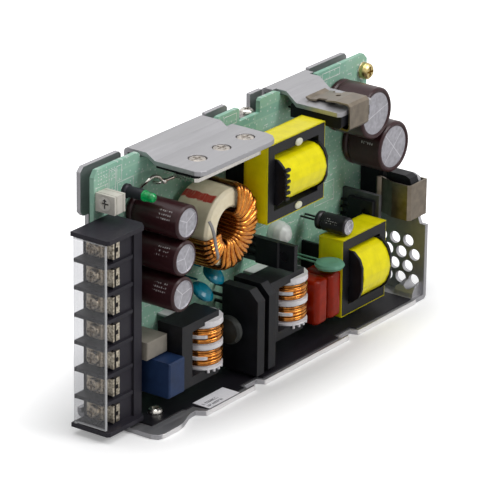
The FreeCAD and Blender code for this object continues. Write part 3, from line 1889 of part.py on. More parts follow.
press = prism(
    "press_plate",
    "XY_Plane",
    [
        ("press_left", "press_front+1"),
        ("press_left+1", "press_front"),
        ("press_right-1", "press_front"),
        ("press_right", "press_front+1"),
        ("press_right", "press_back-1"),
        ("press_right-1", "press_back"),
        ("press_left+1", "press_back"),
        ("press_left", "press_back-1"),
    ],
    "press_thick",
    lift="tab_a_level-sheet_thick-0.1-tab_device_thick-press_thick",
    at=("0", "0", "0"),
)

# Device under the second tab, held by a spring clip that hooks over the tab.
clamped = prism(
    "clamped_device",
    "YZ_Plane",
    [
        ("under_device_front", "tab_b_level-sheet_thick-0.05"),
        ("under_device_front", "tab_b_level-sheet_thick-device_thick+0.8"),
        ("under_device_front+0.8", "tab_b_level-sheet_thick-device_thick"),
        ("under_device_front+under_device_deep", "tab_b_level-sheet_thick-device_thick"),
        ("under_device_front+under_device_deep", "tab_b_level-sheet_thick-0.05"),
    ],
    "under_device_long",
    lift="under_device_left",
    at=("0", "0", "0"),
)
for side in (-1, 0, 1):
    legs(
        clamped,
        "under_device_left+under_device_long/2+leg_pitch*2*%d" % side,
        ["tab_b_level-sheet_thick-device_thick/2"],
        "leg_wide",
        "leg_thick",
        "under_device_front+under_device_deep-0.1",
    )
low_b = "tab_b_level-sheet_thick-device_thick-0.1"
clip_a = prism(
    "spring_clip_1",
    "YZ_Plane",
    [
        ("clip_a_back", "tab_b_level+0.15"),
        ("clip_a_back+0.9", "tab_b_level+0.9"),
        ("clip_a_back+0.6", "tab_b_level+1.3"),
        ("clip_a_back-1", "tab_b_level+0.15+clip_thick"),
        ("clip_a_front+6", "tab_b_level+1.5+clip_thick"),
        ("clip_a_front+1", "tab_b_level+1.5+clip_thick"),
        ("clip_a_front", "tab_b_level+0.6+clip_thick"),
        ("clip_a_front", "clip_a_low+1"),
        ("clip_a_front+1", "clip_a_low"),
        ("clip_a_front+4.5", low_b + "-1.1"),
        ("clip_a_front+6.5", low_b),
        ("clip_a_front+4.2", low_b + "-0.3"),
        ("clip_a_front+1.3", "clip_a_low+clip_thick"),
        ("clip_a_front+clip_thick", "clip_a_low+1.3"),
        ("clip_a_front+clip_thick", "tab_b_level+0.9"),
        ("clip_a_front+1.2", "tab_b_level+1.5"),
        ("clip_a_front+6", "tab_b_level+1.5"),
        ("clip_a_back-1.2", "tab_b_level+0.15"),
    ],
    "clip_a_wide",
    lift="clip_a_left",
    at=("0", "0", "0"),
)
windows = new_sketch(clip_a, "XY_Plane", "tab_b_level+4")
outline(
    windows,
    [
        ("clip_a_left-1", "clip_a_back-7"),
        ("clip_a_left+1.6", "clip_a_back-7"),
        ("clip_a_left+1.6", "clip_a_back-3.4"),
        ("clip_a_left-1", "clip_a_back-3.4"),
    ],
)
outline(
    windows,
    [
        ("clip_a_left+clip_a_wide-1.6", "clip_a_back-7"),
        ("clip_a_left+clip_a_wide+1", "clip_a_back-7"),
        ("clip_a_left+clip_a_wide+1", "clip_a_back-3.4"),
        ("clip_a_left+clip_a_wide-1.6", "clip_a_back-3.4"),
    ],
)
ring(windows, ("clip_a_left+clip_a_wide/2+1", "clip_a_front+9"), "0.9")
pocket(clip_a, windows, "3.8")

# Device on the perforated end plate, with the second spring clip.
inner_face = "frame_len/2-sheet_thick"
end_top = "end_device_low+end_device_high"
end_part = prism(
    "end_device",
    "YZ_Plane",
    [
        ("end_device_front", "end_device_low"),
        ("end_device_front+device_wide", "end_device_low"),
        ("end_device_front+device_wide", end_top),
        ("end_device_front+end_device_round", end_top),
        ("end_device_front+end_device_round*0.29", end_top + "-end_device_round*0.29"),
        ("end_device_front", end_top + "-end_device_round"),
    ],
    "device_thick",
    lift=inner_face + "-0.05-device_thick",
    at=("0", "0", "0"),
)
legs(
    end_part,
    inner_face + "-0.05-device_thick/2",
    ["end_device_low+end_device_high/2+leg_pitch*%d" % side for side in (-1, 0, 1)],
    "leg_thick",
    "leg_wide",
    "end_device_front+device_wide-0.1",
)
clip_face = inner_face + "-device_thick-0.1"
clip_b = prism(
    "spring_clip_2",
    "XY_Plane",
    [
        (clip_face + "-0.2", "raised_front+13"),
        (clip_face + "-1.2", "raised_front+13.4"),
        (clip_face + "-1.5", "raised_front+12.8"),
        (clip_face + "-clip_thick", "raised_front+11.6"),
        (clip_face + "-2.2-clip_thick", "raised_front+6"),
        (clip_face + "-2.2-clip_thick", "raised_front-0.2"),
        (clip_face + "-1.4-clip_thick", "raised_front-1.2"),
        ("frame_len/2+0.7+clip_thick", "raised_front-1.2"),
        ("frame_len/2+0.7+clip_thick", "raised_front+5"),
        ("frame_len/2+0.15", "raised_front+7"),
        ("frame_len/2+0.7", "raised_front+5"),
        ("frame_len/2+0.7", "raised_front-1.2+clip_thick"),
        (clip_face + "-1.6", "raised_front-1.2+clip_thick"),
        (clip_face + "-2.2", "raised_front"),
        (clip_face + "-2.2", "raised_front+6"),
        (clip_face, "raised_front+11.6"),
    ],
    "clip_b_high",
    lift="clip_b_low",
    at=("0", "0", "0"),
)

# Loose-standing devices with their sinks.
side_mid = "side_device_front+device_long-8.6"
side = prism(
    "side_device",
    "XY_Plane",
    [
        ("side_device_x", "side_device_front"),
        ("side_device_x+slim_thick", "side_device_front"),
        ("side_device_x+slim_thick", "side_device_front+device_long"),
        ("side_device_x-0.5", "side_device_front+device_long"),
        ("side_device_x-0.5", side_mid),
        ("side_device_x", side_mid + "-0.5"),
    ],
    "device_wide-1.2",
    lift="side_device_low",
    at=("0", "0", "0"),
)
side_hole = new_sketch(side, "YZ_Plane", "side_device_x")
ring(side_hole, ("side_device_front+4", "side_device_low+(device_wide-1.2)/2"), "device_hole")
pocket(side, side_hole, "slim_thick*0.6", reverse=True)
legs(
    side,
    "side_device_x+slim_thick/2",
    ["side_device_low+(device_wide-1.2)/2+leg_pitch*%d" % step for step in (-1, 0, 1)],
    "leg_thick",
    "leg_wide",
    "side_device_front+device_long-0.1",
)
prism(
    "side_sink",
    "XY_Plane",
    [
        ("side_device_x+slim_thick+0.05", "side_device_front+2.5"),
        ("side_device_x+slim_thick+0.05+side_sink_thick", "side_device_front+2.5"),
        ("side_device_x+slim_thick+0.05+side_sink_thick", "board_front-seat_gap"),
        ("side_device_x+slim_thick+0.05", "board_front-seat_gap"),
    ],
    "device_wide-1.4",
    lift="side_device_low-0.6",
    at=("0", "0", "0"),
)
right = prism(
    "right_device",
    "XY_Plane",
    [
        ("right_device_x", "right_device_front"),
        ("right_device_x+slim_thick", "right_device_front"),
        ("right_device_x+slim_thick", "right_device_front+device_wide"),
        ("right_device_x", "right_device_front+device_wide"),
    ],
    "device_wide-1.2",
    lift="right_device_low",
    at=("0", "0", "0"),
)
right_hole = new_sketch(right, "YZ_Plane", "right_device_x")
ring(right_hole, ("right_device_front+2.6", "right_device_low+(device_wide-1.2)/2"), "device_hole")
pocket(right, right_hole, "slim_thick*0.6", reverse=True)
legs(
    right,
    "right_device_x+slim_thick/2",
    ["right_device_low+(device_wide-1.2)/2+leg_pitch*%d" % step for step in (-1, 0, 1)],
    "leg_thick",
    "leg_wide",
    "right_device_front+device_wide-0.1",
)
prism(
    "right_sink",
    "XY_Plane",
    [
        ("right_device_x+slim_thick+0.05", "right_device_front-1.4"),
        ("right_device_x+slim_thick+0.05+side_sink_thick", "right_device_front-1.4"),
        ("right_device_x+slim_thick+0.05+side_sink_thick", "board_front-seat_gap"),
        ("right_device_x+slim_thick+0.05", "board_front-seat_gap"),
    ],
    "device_wide+6.4",
    lift="right_device_low-5.6",
    at=("0", "0", "0"),
)

doc.recompute()

faults = []
for obj in doc.Objects:
    if "Invalid" in obj.State or "Error" in obj.State:
        faults.append(obj.Name + " " + " ".join(obj.State))
for label, obj in PARTS.items():
    shape = obj.Shape
    if shape.isNull() or not shape.isValid() or not shape.Solids:
        faults.append(label + " has no sound shape")
if faults:
    raise RuntimeError("; ".join(faults))

for label, obj in PARTS.items():
    obj.Shape.exportStep("parts/%s.step" % label)
print("%d parts" % len(PARTS))
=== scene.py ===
import json
import math
import random

import bmesh
import bpy
from mathutils import Matrix, Vector


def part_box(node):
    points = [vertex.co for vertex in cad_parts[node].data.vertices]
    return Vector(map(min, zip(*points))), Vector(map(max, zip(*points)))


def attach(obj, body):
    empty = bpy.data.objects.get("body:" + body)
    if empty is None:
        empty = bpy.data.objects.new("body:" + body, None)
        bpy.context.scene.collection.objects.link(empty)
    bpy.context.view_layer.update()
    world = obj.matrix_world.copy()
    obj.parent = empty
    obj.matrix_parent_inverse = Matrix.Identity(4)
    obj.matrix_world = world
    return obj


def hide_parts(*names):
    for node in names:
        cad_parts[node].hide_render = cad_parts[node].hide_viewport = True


# Everything is in metres. X runs along the supply with its terminals at -X, the open side faces -Y, Z is up.
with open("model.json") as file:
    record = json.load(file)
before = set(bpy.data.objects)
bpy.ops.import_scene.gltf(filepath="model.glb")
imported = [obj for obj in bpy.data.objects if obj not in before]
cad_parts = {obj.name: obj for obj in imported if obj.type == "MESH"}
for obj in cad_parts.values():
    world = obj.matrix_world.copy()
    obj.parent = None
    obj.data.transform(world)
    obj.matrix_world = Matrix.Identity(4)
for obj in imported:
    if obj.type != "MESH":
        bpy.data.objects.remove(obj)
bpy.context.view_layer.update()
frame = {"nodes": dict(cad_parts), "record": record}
NODES = frame["nodes"]
SLOT_OF = {item["node"]: item["material_slot"] for item in frame["record"]["subparts"]}
SUPPLY = "supply"
MM = 0.001
WHITE = (1.0, 1.0, 1.0)
random.seed(7)


def middle_of(node_name):
    """Centre of a node's box."""
    low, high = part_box(node_name)
    return [(low[i] + high[i]) / 2 for i in range(3)]


# Shader helpers

# Between these a noise goes from its dark patches to its pale ones.
USUAL_SPAN = (0.3, 0.7)
NARROW_SPAN = (0.35, 0.65)
SPECULAR = 0.22
COAT_ROUGH = 0.05
ROUGH_SWING = 0.12


def new_material(name):
    """Empty node material and its tree."""
    material = bpy.data.materials.new(name)
    material.use_nodes = True
    material.node_tree.nodes.clear()
    return material, material.node_tree


def node(tree, kind, inputs=None, **settings):
    """One shader node, with values or links on its inputs."""
    made = tree.nodes.new(kind)
    for key, value in settings.items():
        setattr(made, key, value)
    for key, value in (inputs or {}).items():
        if isinstance(value, bpy.types.NodeSocket):
            tree.links.new(value, made.inputs[key])
        else:
            made.inputs[key].default_value = value
    return made


def calc(tree, operation, a, b=0.0):
    """Result of one math node."""
    return node(tree, "ShaderNodeMath", {0: a, 1: b}, operation=operation).outputs[0]


def plus(tree, a, b):
    """Sum of two values."""
    return calc(tree, "ADD", a, b)


def minus(tree, a, b):
    """First value less the second."""
    return calc(tree, "SUBTRACT", a, b)


def distance(tree, a, b):
    """How far two values are apart."""
    return calc(tree, "ABSOLUTE", minus(tree, a, b))


def times(tree, first, *others):
    """Product of several values."""
    for other in others:
        first = calc(tree, "MULTIPLY", first, other)
    return first


def highest(tree, first, *others):
    """Largest of several values."""
    for other in others:
        first = calc(tree, "MAXIMUM", first, other)
    return first


def stripes(tree, value, rate, level):
    """1 where the sine of the value times a rate lies above a level."""
    return calc(tree, "GREATER_THAN", calc(tree, "SINE", times(tree, value, rate)), level)


def tinted(color, share):
    """The colour made lighter or darker by a factor."""
    return tuple(min(1.0, part * share) for part in color)


def rgba(color):
    """The colour with full opacity."""
    return tuple(color) + (1.0,)


def blend_colors(tree, factor, a, b):
    """Colour a where the factor is 0 and b where it is 1; each is a link or three numbers."""
    a, b = (part if isinstance(part, bpy.types.NodeSocket) else rgba(part) for part in (a, b))
    return node(tree, "ShaderNodeMix", {0: factor, 6: a, 7: b}, data_type="RGBA").outputs[2]


def position(tree):
    """The point's place in the frame."""
    return node(tree, "ShaderNodeTexCoord").outputs["Object"]


def axes_of(tree):
    """The point's X, Y and Z."""
    return node(tree, "ShaderNodeSeparateXYZ", {0: position(tree)}).outputs


def noise(tree, scale, detail=3.0, stretch=(1, 1, 1), rough=0.5):
    """Noise over the object's own position, in 1/m."""
    placed = node(tree, "ShaderNodeMapping", {"Vector": position(tree), "Scale": stretch})
    return node(
        tree,
        "ShaderNodeTexNoise",
        {"Vector": placed.outputs[0], "Scale": scale, "Detail": detail, "Roughness": rough},
    ).outputs["Fac"]


def ramp(tree, value, low, high, start=0.0, stop=1.0):
    """From start to stop as the value goes from low to high, and level beyond."""
    return node(
        tree,
        "ShaderNodeMapRange",
        {"Value": value, "From Min": low, "From Max": high, "To Min": start, "To Max": stop},
    ).outputs[0]


def fade(tree, value, low, high, top=1.0):
    """From top down to 0 as the value goes from low to high."""
    return ramp(tree, value, low, high, top, 0.0)


def inside(tree, value, low, high, soft):
    """1 where the value lies between low and high, with soft edges."""
    return times(
        tree,
        ramp(tree, value, low - soft, low + soft),
        fade(tree, value, high - soft, high + soft),
    )


def mottle(tree, cloud, dark, pale, span=USUAL_SPAN):
    """Two colours in patches that follow a noise."""
    return blend_colors(tree, ramp(tree, cloud, *span), dark, pale)


def around_axis(tree, xyz, node_name, other=2):
    """Offsets in X and one other direction from a node's middle, and the distance they make."""
    middle = middle_of(node_name)
    dx = minus(tree, xyz[0], middle[0])
    offset = minus(tree, xyz[other], middle[other])
    square = plus(tree, times(tree, dx, dx), times(tree, offset, offset))
    return dx, offset, calc(tree, "SQRT", square)


def shade(tree, color, rough, bump, strength, depth=0.1 * MM, metal=0.0, round_off=0.2 * MM,
          coat=0.0, specular=SPECULAR, extra=None):
    """Principled surface with a bump and rounded-off edges, on the material's output."""
    edges = node(tree, "ShaderNodeBevel", {"Radius": round_off}, samples=4)
    relief = node(
        tree,
        "ShaderNodeBump",
        {"Height": bump, "Strength": strength, "Distance": depth, "Normal": edges.outputs[0]},
    )
    inputs = {
        "Base Color": color,
        "Roughness": rough,
        "Metallic": metal,
        "Normal": relief.outputs[0],
        "Coat Weight": coat,
        "Coat Roughness": COAT_ROUGH,
        "Specular IOR Level": specular,
    }
    inputs.update(extra or {})
    skin = node(tree, "ShaderNodeBsdfPrincipled", inputs)
    node(tree, "ShaderNodeOutputMaterial", {"Surface": skin.outputs[0]})


def finish(name, color, rough=0.5, metal=0.0, patch=0.1, patch_scale=250.0, grain=0.12,
           grain_scale=5000.0, stretch=(1, 1, 1), coat=0.0, specular=SPECULAR,
           round_off=0.2 * MM, extra=None):
    """General finish: patchy colour, uneven gloss and a fine grain."""
    material, tree = new_material(name)
    broad = noise(tree, patch_scale, 4.0, stretch)
    fine = noise(tree, grain_scale, 2.0, stretch)
    tint = mottle(tree, broad, tinted(color, 1.0 - patch), tinted(color, 1.0 + patch))
    uneven = ramp(tree, broad, *USUAL_SPAN, rough - ROUGH_SWING / 2, rough + ROUGH_SWING / 2)
    shade(tree, tint, uneven, fine, grain, metal=metal, round_off=round_off, coat=coat,
          specular=specular, extra=extra)
    return material


# Tray and board

ALUMINIUM = (0.40, 0.395, 0.41)
CUT_EDGE_HIGHLIGHT = (0.92, 0.90, 0.90)


def sheet_finish():
    """Rolled aluminium: grain along the length, a little smeared; its bare cut edge in front is painted
    brighter as a highlight.
    """
    material, tree = new_material("sheet_finish")
    grain = noise(tree, 900.0, 5.0, (0.05, 1.0, 1.0), 0.7)
    smear = noise(tree, 60.0, 4.0)
    tint = mottle(tree, grain, tinted(ALUMINIUM, 0.93), tinted(ALUMINIUM, 1.07))
    rough = plus(
        tree,
        ramp(tree, grain, *USUAL_SPAN, 0.38, 0.47),
        ramp(tree, smear, *USUAL_SPAN, -0.03, 0.04),
    )
    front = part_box("chassis")[0][1]
    # Bare cut edge at the front, painted near-white as a highlight.
    bare = fade(tree, axes_of(tree)[1], front + 0.2 * MM, front + 0.5 * MM, 0.8)
    tint = blend_colors(tree, bare, tint, CUT_EDGE_HIGHLIGHT)
    shade(tree, tint, rough, grain, 0.05, metal=0.9, round_off=0.25 * MM)
    return material


def board_finish():
    """Green solder mask over copper areas, with vias and a faint weave."""
    over_board = (0.36, 0.60, 0.46)
    over_copper = (0.24, 0.50, 0.38)
    pale_patch = (0.42, 0.66, 0.52)
    via = (0.75, 0.80, 0.76)
    material, tree = new_material("board_finish")
    xyz = axes_of(tree)
    flat = node(tree, "ShaderNodeCombineXYZ", {0: xyz[0], 1: xyz[2]}).outputs[0]
    copper = node(
        tree,
        "ShaderNodeTexBrick",
        {
            "Vector": flat,
            "Color1": rgba(WHITE),
            "Color2": (0.2, 0.2, 0.2, 1),
            "Mortar": (0, 0, 0, 1),
            "Scale": 90.0,
            "Mortar Size": 0.03,
            "Brick Width": 0.9,
            "Row Height": 0.34,
        },
        offset=0.37,
        squash=1.4,
    ).outputs["Color"]
    tint = blend_colors(tree, copper, over_board, over_copper)
    cloud = noise(tree, 70.0)
    tint = blend_colors(tree, ramp(tree, cloud, *NARROW_SPAN, 0.0, 0.5), tint, pale_patch)
    vias = node(
        tree,
        "ShaderNodeTexVoronoi",
        {"Vector": flat, "Scale": 420.0, "Randomness": 0.85},
        voronoi_dimensions="2D",
    ).outputs["Distance"]
    tint = blend_colors(tree, fade(tree, vias, 0.10, 0.14, 0.75), tint, via)
    shade(tree, tint, 0.32, noise(tree, 3000.0, 2.0), 0.08, round_off=0.15 * MM, specular=0.1)
    return material


# Cans, chokes and transformers

def scored_lines(tree, angle, spread, score):
    """Lines scored into a can's end: one line, a cross, or a star of three arms."""

    def line_at(turn):
        across = times(tree, calc(tree, "SINE", minus(tree, angle, turn)), spread)
        return fade(tree, calc(tree, "ABSOLUTE", across), 0.06 * MM, 0.16 * MM)

    def arm_at(turn):
        ahead = calc(tree, "GREATER_THAN", calc(tree, "COSINE", minus(tree, angle, turn)), 0.0)
        return times(tree, line_at(turn), ahead)

    if score == "star":
        return highest(tree, *(arm_at(turn) for turn in (0.0, 2.2, 4.1)))
    if score == "cross":
        return highest(tree, line_at(0.0), line_at(math.pi / 2))
    return line_at(0.0)


def can_finish(name, node_name, sleeve, score, turn):
    """Sleeved can: shrink sleeve with plain printed ticks, bare scored end."""
    dull_end = (0.36, 0.35, 0.38)
    bright_end = (0.47, 0.46, 0.50)
    scored = (0.80, 0.79, 0.82)
    ink = (0.62, 0.58, 0.58)
    print_arc = (2.25, 2.95)
    shoulder_arc = (-1.1, 0.7)
    row_rate = 27.0
    dot_rate = 40.0
    tick_rate = 7800.0
    low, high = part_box(node_name)
    radius = (high[0] - low[0]) / 2
    front = low[1]
    material, tree = new_material(name)
    xyz = axes_of(tree)
    dx, dz, spread = around_axis(tree, xyz, node_name)
    around = calc(tree, "ARCTAN2", dz, dx)
    end = times(
        tree,
        fade(tree, spread, radius * 0.80, radius * 0.82),
        fade(tree, xyz[1], front + 0.7 * MM, front + 0.8 * MM),
    )
    line = scored_lines(tree, minus(tree, around, turn), spread, score)
    cloud = noise(tree, 900.0, 4.0)
    bare = mottle(tree, cloud, dull_end, bright_end, NARROW_SPAN)
    bare = blend_colors(tree, times(tree, line, 0.7), bare, scored)
    ticks = times(
        tree,
        inside(tree, around, *print_arc, 0.01),
        inside(tree, xyz[1], front + 3.0 * MM, front + 7.8 * MM, 0.1 * MM),
        stripes(tree, around, row_rate, 0.35),
        stripes(tree, xyz[1], tick_rate, -0.1),
        ramp(tree, noise(tree, 1300.0, 2.0), 0.45, 0.5),
    )
    dots = times(
        tree,
        inside(tree, around, *shoulder_arc, 0.02),
        inside(tree, xyz[1], front + 0.9 * MM, front + 1.4 * MM, 0.1 * MM),
        stripes(tree, around, dot_rate, 0.2),
    )
    wall = mottle(tree, cloud, tinted(sleeve, 0.85), tinted(sleeve, 1.2))
    wall = blend_colors(tree, times(tree, highest(tree, ticks, dots), 0.8), wall, ink)
    shade(
        tree,
        blend_colors(tree, end, wall, bare),
        ramp(tree, end, 0.0, 1.0, 0.3, 0.42),
        minus(tree, times(tree, cloud, 0.2), times(tree, line, 0.8)),
        0.12,
        depth=0.2 * MM,
        metal=times(tree, end, 0.4),
        round_off=0.4 * MM,
        specular=0.3,
    )
    return material


def ring_finish():
    """Cream coating on the choke ring, with one hand-painted red band."""
    cream = ((0.82, 0.72, 0.50), (0.90, 0.81, 0.60))
    paint = (0.52, 0.06, 0.04)
    band_arc = (2.00, 2.24)
    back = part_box("toroid_core")[1][1]
    material, tree = new_material("ring_finish")
    xyz = axes_of(tree)
    dx, dz, _ = around_axis(tree, xyz, "toroid_core")
    wander = noise(tree, 500.0)
    angle = calc(tree, "ARCTAN2", dz, dx)
    swayed = plus(tree, angle, ramp(tree, wander, *USUAL_SPAN, -0.03, 0.03))
    streak = noise(tree, 1200.0, 3.0, (0.3, 3.0, 0.3))
    red = times(
        tree,
        inside(tree, swayed, *band_arc, 0.015),
        inside(tree, xyz[1], back - 12.8 * MM, back - 0.5 * MM, 0.3 * MM),
        ramp(tree, streak, 0.3, 0.5, 0.8, 1.0),
    )
    color = blend_colors(tree, red, mottle(tree, wander, *cream), paint)
    shade(tree, color, 0.42, noise(tree, 2500.0), 0.15, depth=0.2 * MM, round_off=0.6 * MM, coat=0.2)
    return material


RING_LOW, RING_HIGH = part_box("toroid_core")
RING_MIDDLE = middle_of("toroid_core")
RING_RADIUS = (RING_HIGH[0] - RING_LOW[0]) / 2
RING_HOLE = 6.3 * MM
SPOOL_BARREL = 5.3 * MM


def ring_depth(tree, xyz):
    """How far a point stands off the surface of the choke ring, for the winding's painted shade; in the hole
    it counts at less than half, so the shade there is deeper.
    """
    spread = around_axis(tree, xyz, "toroid_core")[2]
    outer = minus(tree, spread, RING_RADIUS)
    inner = times(tree, minus(tree, RING_HOLE, spread), 0.45)
    front = minus(tree, distance(tree, xyz[1], RING_MIDDLE[1]), (RING_HIGH[1] - RING_LOW[1]) / 2)
    return highest(tree, front, outer, inner)


def spool_depth(node_name):
    """Measures how far a point stands off the barrel of one spool, for the winding's painted shade."""

    def measure(tree, xyz):
        return minus(tree, around_axis(tree, xyz, node_name, 1)[2], SPOOL_BARREL)

    return measure


def wire_finish(name, depth_of):
    """Enamelled copper in patchy tones, with painted shade darkening it down between the turns, near what it
    is wound on.
    """
    copper = ((0.48, 0.14, 0.018), (0.80, 0.33, 0.055))
    painted_gap_shade = (0.04, 0.010, 0.002)
    material, tree = new_material(name)
    depth = depth_of(tree, axes_of(tree))
    tint = mottle(tree, noise(tree, 900.0), *copper)
    # Painted shade: the closer the wire lies to the ring or the barrel, the darker it is.
    tint = blend_colors(tree, ramp(tree, depth, 0.5 * MM, 1.6 * MM), painted_gap_shade, tint)
    shade(tree, tint, 0.2, noise(tree, 4000.0), 0.05, metal=0.9, round_off=0.0, coat=0.2)
    return material


def tape_finish():
    """Polyester tape: glossy wraps whose edges show as fine steps, with soft folds."""
    color = (0.92, 0.81, 0.004)
    pitch = 4.9 * MM
    material, tree = new_material("tape_finish")
    wave = calc(tree, "FRACT", calc(tree, "DIVIDE", axes_of(tree)[0], pitch))
    step = fade(tree, distance(tree, wave, 0.5), 0.0, 0.035)
    cloud = noise(tree, 260.0, 4.0)
    tint = mottle(tree, cloud, tinted(color, 0.9), tinted(color, 1.06))
    tint = blend_colors(tree, times(tree, step, 0.2), tint, tinted(color, 0.6))
    height = minus(tree, times(tree, cloud, 0.7), step)
    height = plus(tree, height, noise(tree, 420.0, 2.0, (2.0, 0.5, 0.35)))
    shade(tree, tint, 0.24, height, 0.13, depth=0.3 * MM, round_off=1.6 * MM, specular=0.18)
    return material


# Terminals, trimmer and lamp

def clear_finish():
    """Thin clear plastic: see-through, with a painted highlight along its cut edges, faintly smeared."""
    through_tint = (0.80, 0.80, 0.81)
    haze_and_highlight_tint = (0.72, 0.73, 0.74)
    gloss_tint = (0.9, 0.9, 0.9)
    edge_highlight_band = 0.9 * MM
    low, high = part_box("terminal_cover")
    material, tree = new_material("clear_finish")
    xyz = axes_of(tree)
    # Painted highlight: the cut edges at the front and at both ends are made whiter.
    painted_edge_highlight = fade(tree, xyz[1], low[1] + 0.2 * MM, low[1] + 0.4 * MM)
    for away in (minus(tree, xyz[2], low[2] + edge_highlight_band), minus(tree, high[2] - edge_highlight_band, xyz[2])):
        painted_edge_highlight = highest(tree, painted_edge_highlight, fade(tree, away, 0.1 * MM, 0.4 * MM))
    through = node(tree, "ShaderNodeBsdfTransparent", {"Color": rgba(through_tint)})
    skin = node(
        tree,
        "ShaderNodeBsdfPrincipled",
        {"Base Color": rgba(haze_and_highlight_tint), "Roughness": 0.1, "Specular IOR Level": 0.5},
    )
    gloss = node(tree, "ShaderNodeBsdfAnisotropic", {"Color": rgba(gloss_tint), "Roughness": 0.06})
    grazing = node(tree, "ShaderNodeLayerWeight", {"Blend": 0.5}).outputs["Facing"]
    facing = ramp(tree, calc(tree, "POWER", grazing, 5.0), 0.0, 1.0, 0.04, 0.9)
    shine = node(tree, "ShaderNodeMixShader", {0: facing, 1: through.outputs[0], 2: gloss.outputs[0]})
    smear = noise(tree, 160.0, 4.0, (1, 1, 0.3))
    # Real smear haze plus the painted edge highlight.
    smear_haze_and_edge_highlight = plus(tree, ramp(tree, smear, 0.35, 0.7, 0.03, 0.07), times(tree, painted_edge_highlight, 0.6))
    mixed = node(tree, "ShaderNodeMixShader", {0: smear_haze_and_edge_highlight, 1: shine.outputs[0], 2: skin.outputs[0]})
    node(tree, "ShaderNodeOutputMaterial", {"Surface": mixed.outputs[0]})
    return material


def clamp_finish():
    """Nickelled clamp plate, tarnished in patches, with painted shade in the gap and slot of each clamp."""
    nickel = ((0.26, 0.22, 0.16), (0.76, 0.69, 0.56))
    painted_shade_tint = (0.012, 0.010, 0.010)
    pitch = 9.0 * MM
    low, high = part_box("terminal_plates")
    first = middle_of("terminal_plates")[2] - pitch / 2
    material, tree = new_material("clamp_finish")
    xyz = axes_of(tree)
    cloud = noise(tree, 1500.0, 4.0)
    tint = mottle(tree, cloud, *nickel, NARROW_SPAN)
    painted_gap_shade = inside(tree, xyz[0], low[0] + 0.6 * MM, low[0] + 1.5 * MM, 0.1 * MM)
    wave = calc(tree, "FRACT", calc(tree, "DIVIDE", minus(tree, xyz[2], first), pitch))
    slot = times(
        tree,
        fade(tree, distance(tree, wave, 0.5), 0.07, 0.09),
        inside(tree, xyz[0], low[0] + 1.2 * MM, high[0] - 0.7 * MM, 0.1 * MM),
    )
    # Painted shade: near-black in the gap and the slots, on the front faces.
    dark = times(
        tree,
        highest(tree, painted_gap_shade, slot),
        fade(tree, xyz[1], low[1] + 0.3 * MM, low[1] + 0.6 * MM),
    )
    tint = blend_colors(tree, dark, tint, painted_shade_tint)
    shade(tree, tint, 0.3, cloud, 0.25, depth=0.2 * MM, metal=0.95)
    return material


def rotor_finish():
    """Cream rotor with painted shade in its cross slot and in the arrow head at one end of it."""
    cream = ((0.70, 0.67, 0.60), (0.80, 0.77, 0.70))
    painted_slot_shade = (0.06, 0.055, 0.05)
    half_slot = (0.22 * MM, 0.3 * MM)
    middle = middle_of("trimmer_rotor")
    material, tree = new_material("rotor_finish")
    xyz = axes_of(tree)
    across = distance(tree, xyz[1], middle[1])
    dz = minus(tree, xyz[2], middle[2])
    up = calc(tree, "ABSOLUTE", dz)
    bar = times(tree, fade(tree, across, *half_slot), fade(tree, up, 1.5 * MM, 1.6 * MM))
    rung = times(tree, fade(tree, up, *half_slot), fade(tree, across, 1.2 * MM, 1.3 * MM))
    head = times(
        tree,
        calc(tree, "LESS_THAN", across, minus(tree, 1.7 * MM, dz)),
        calc(tree, "GREATER_THAN", dz, 0.8 * MM),
    )
    cloud = noise(tree, 900.0)
    # Painted shade fills the slot and the arrow head.
    tint = blend_colors(tree, highest(tree, head, bar, rung), mottle(tree, cloud, *cream), painted_slot_shade)
    shade(tree, tint, 0.4, cloud, 0.1)
    return material


def lamp_finish():
    """Tinted lamp lens with its dark inside showing, and a faint painted glow."""
    green = ((0.0, 0.26, 0.06), (0.0, 0.42, 0.11))
    dark = (0.0, 0.06, 0.02)
    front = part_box("lamp")[0][1]
    material, tree = new_material("lamp_finish")
    xyz = axes_of(tree)
    cloud = noise(tree, 900.0)
    inner = times(
        tree,
        inside(tree, xyz[1], front + 1.2 * MM, front + 2.1 * MM, 0.3 * MM),
        ramp(tree, cloud, 0.35, 0.6),
    )
    tip = fade(tree, around_axis(tree, xyz, "lamp")[2], 0.3 * MM, 0.7 * MM, 0.7)
    tint = blend_colors(tree, highest(tree, inner, tip), mottle(tree, cloud, *green), dark)
    # The emission gives the lens a faint painted glow.
    shade(
        tree, tint, 0.12, cloud, 0.05, coat=0.4,
        extra={"Transmission Weight": 0.3, "IOR": 1.5, "Emission Color": (0.0, 0.3, 0.08, 1.0),
               "Emission Strength": 0.2},
    )
    return material


# Label on the flange, in the frame's millimetres; its height is counted from the film

LABEL_X = (-48.0, -32.2)
LABEL_Y = (-15.9, -9.2)
LABEL_HEIGHT = (0.01, 0.12)
LABEL_BEVEL = 0.04
TICK_X = (-47.0, -39.5)
TICK_ROWS_Y = ((-15.0, -13.9), (-13.1, -11.9))


def label_finish():
    """White sticker with two rows of plain ticks."""
    paper = ((0.88, 0.87, 0.91), (0.94, 0.93, 0.96))
    ink = (0.05, 0.05, 0.07)
    tick_rate = 7600.0
    material, tree = new_material("label_finish")
    xyz = axes_of(tree)
    cloud = noise(tree, 700.0)
    rows = [inside(tree, xyz[1], low * MM, high * MM, 0.1 * MM) for low, high in TICK_ROWS_Y]
    mark = times(
        tree,
        highest(tree, *rows),
        stripes(tree, xyz[0], tick_rate, -0.3),
        ramp(tree, noise(tree, 900.0, 2.0), 0.42, 0.46),
        inside(tree, xyz[0], TICK_X[0] * MM, TICK_X[1] * MM, 0.2 * MM),
    )
    tint = blend_colors(tree, mark, mottle(tree, cloud, *paper), ink)
    shade(tree, tint, 0.4, cloud, 0.05)
    return material


# Finish of each material slot

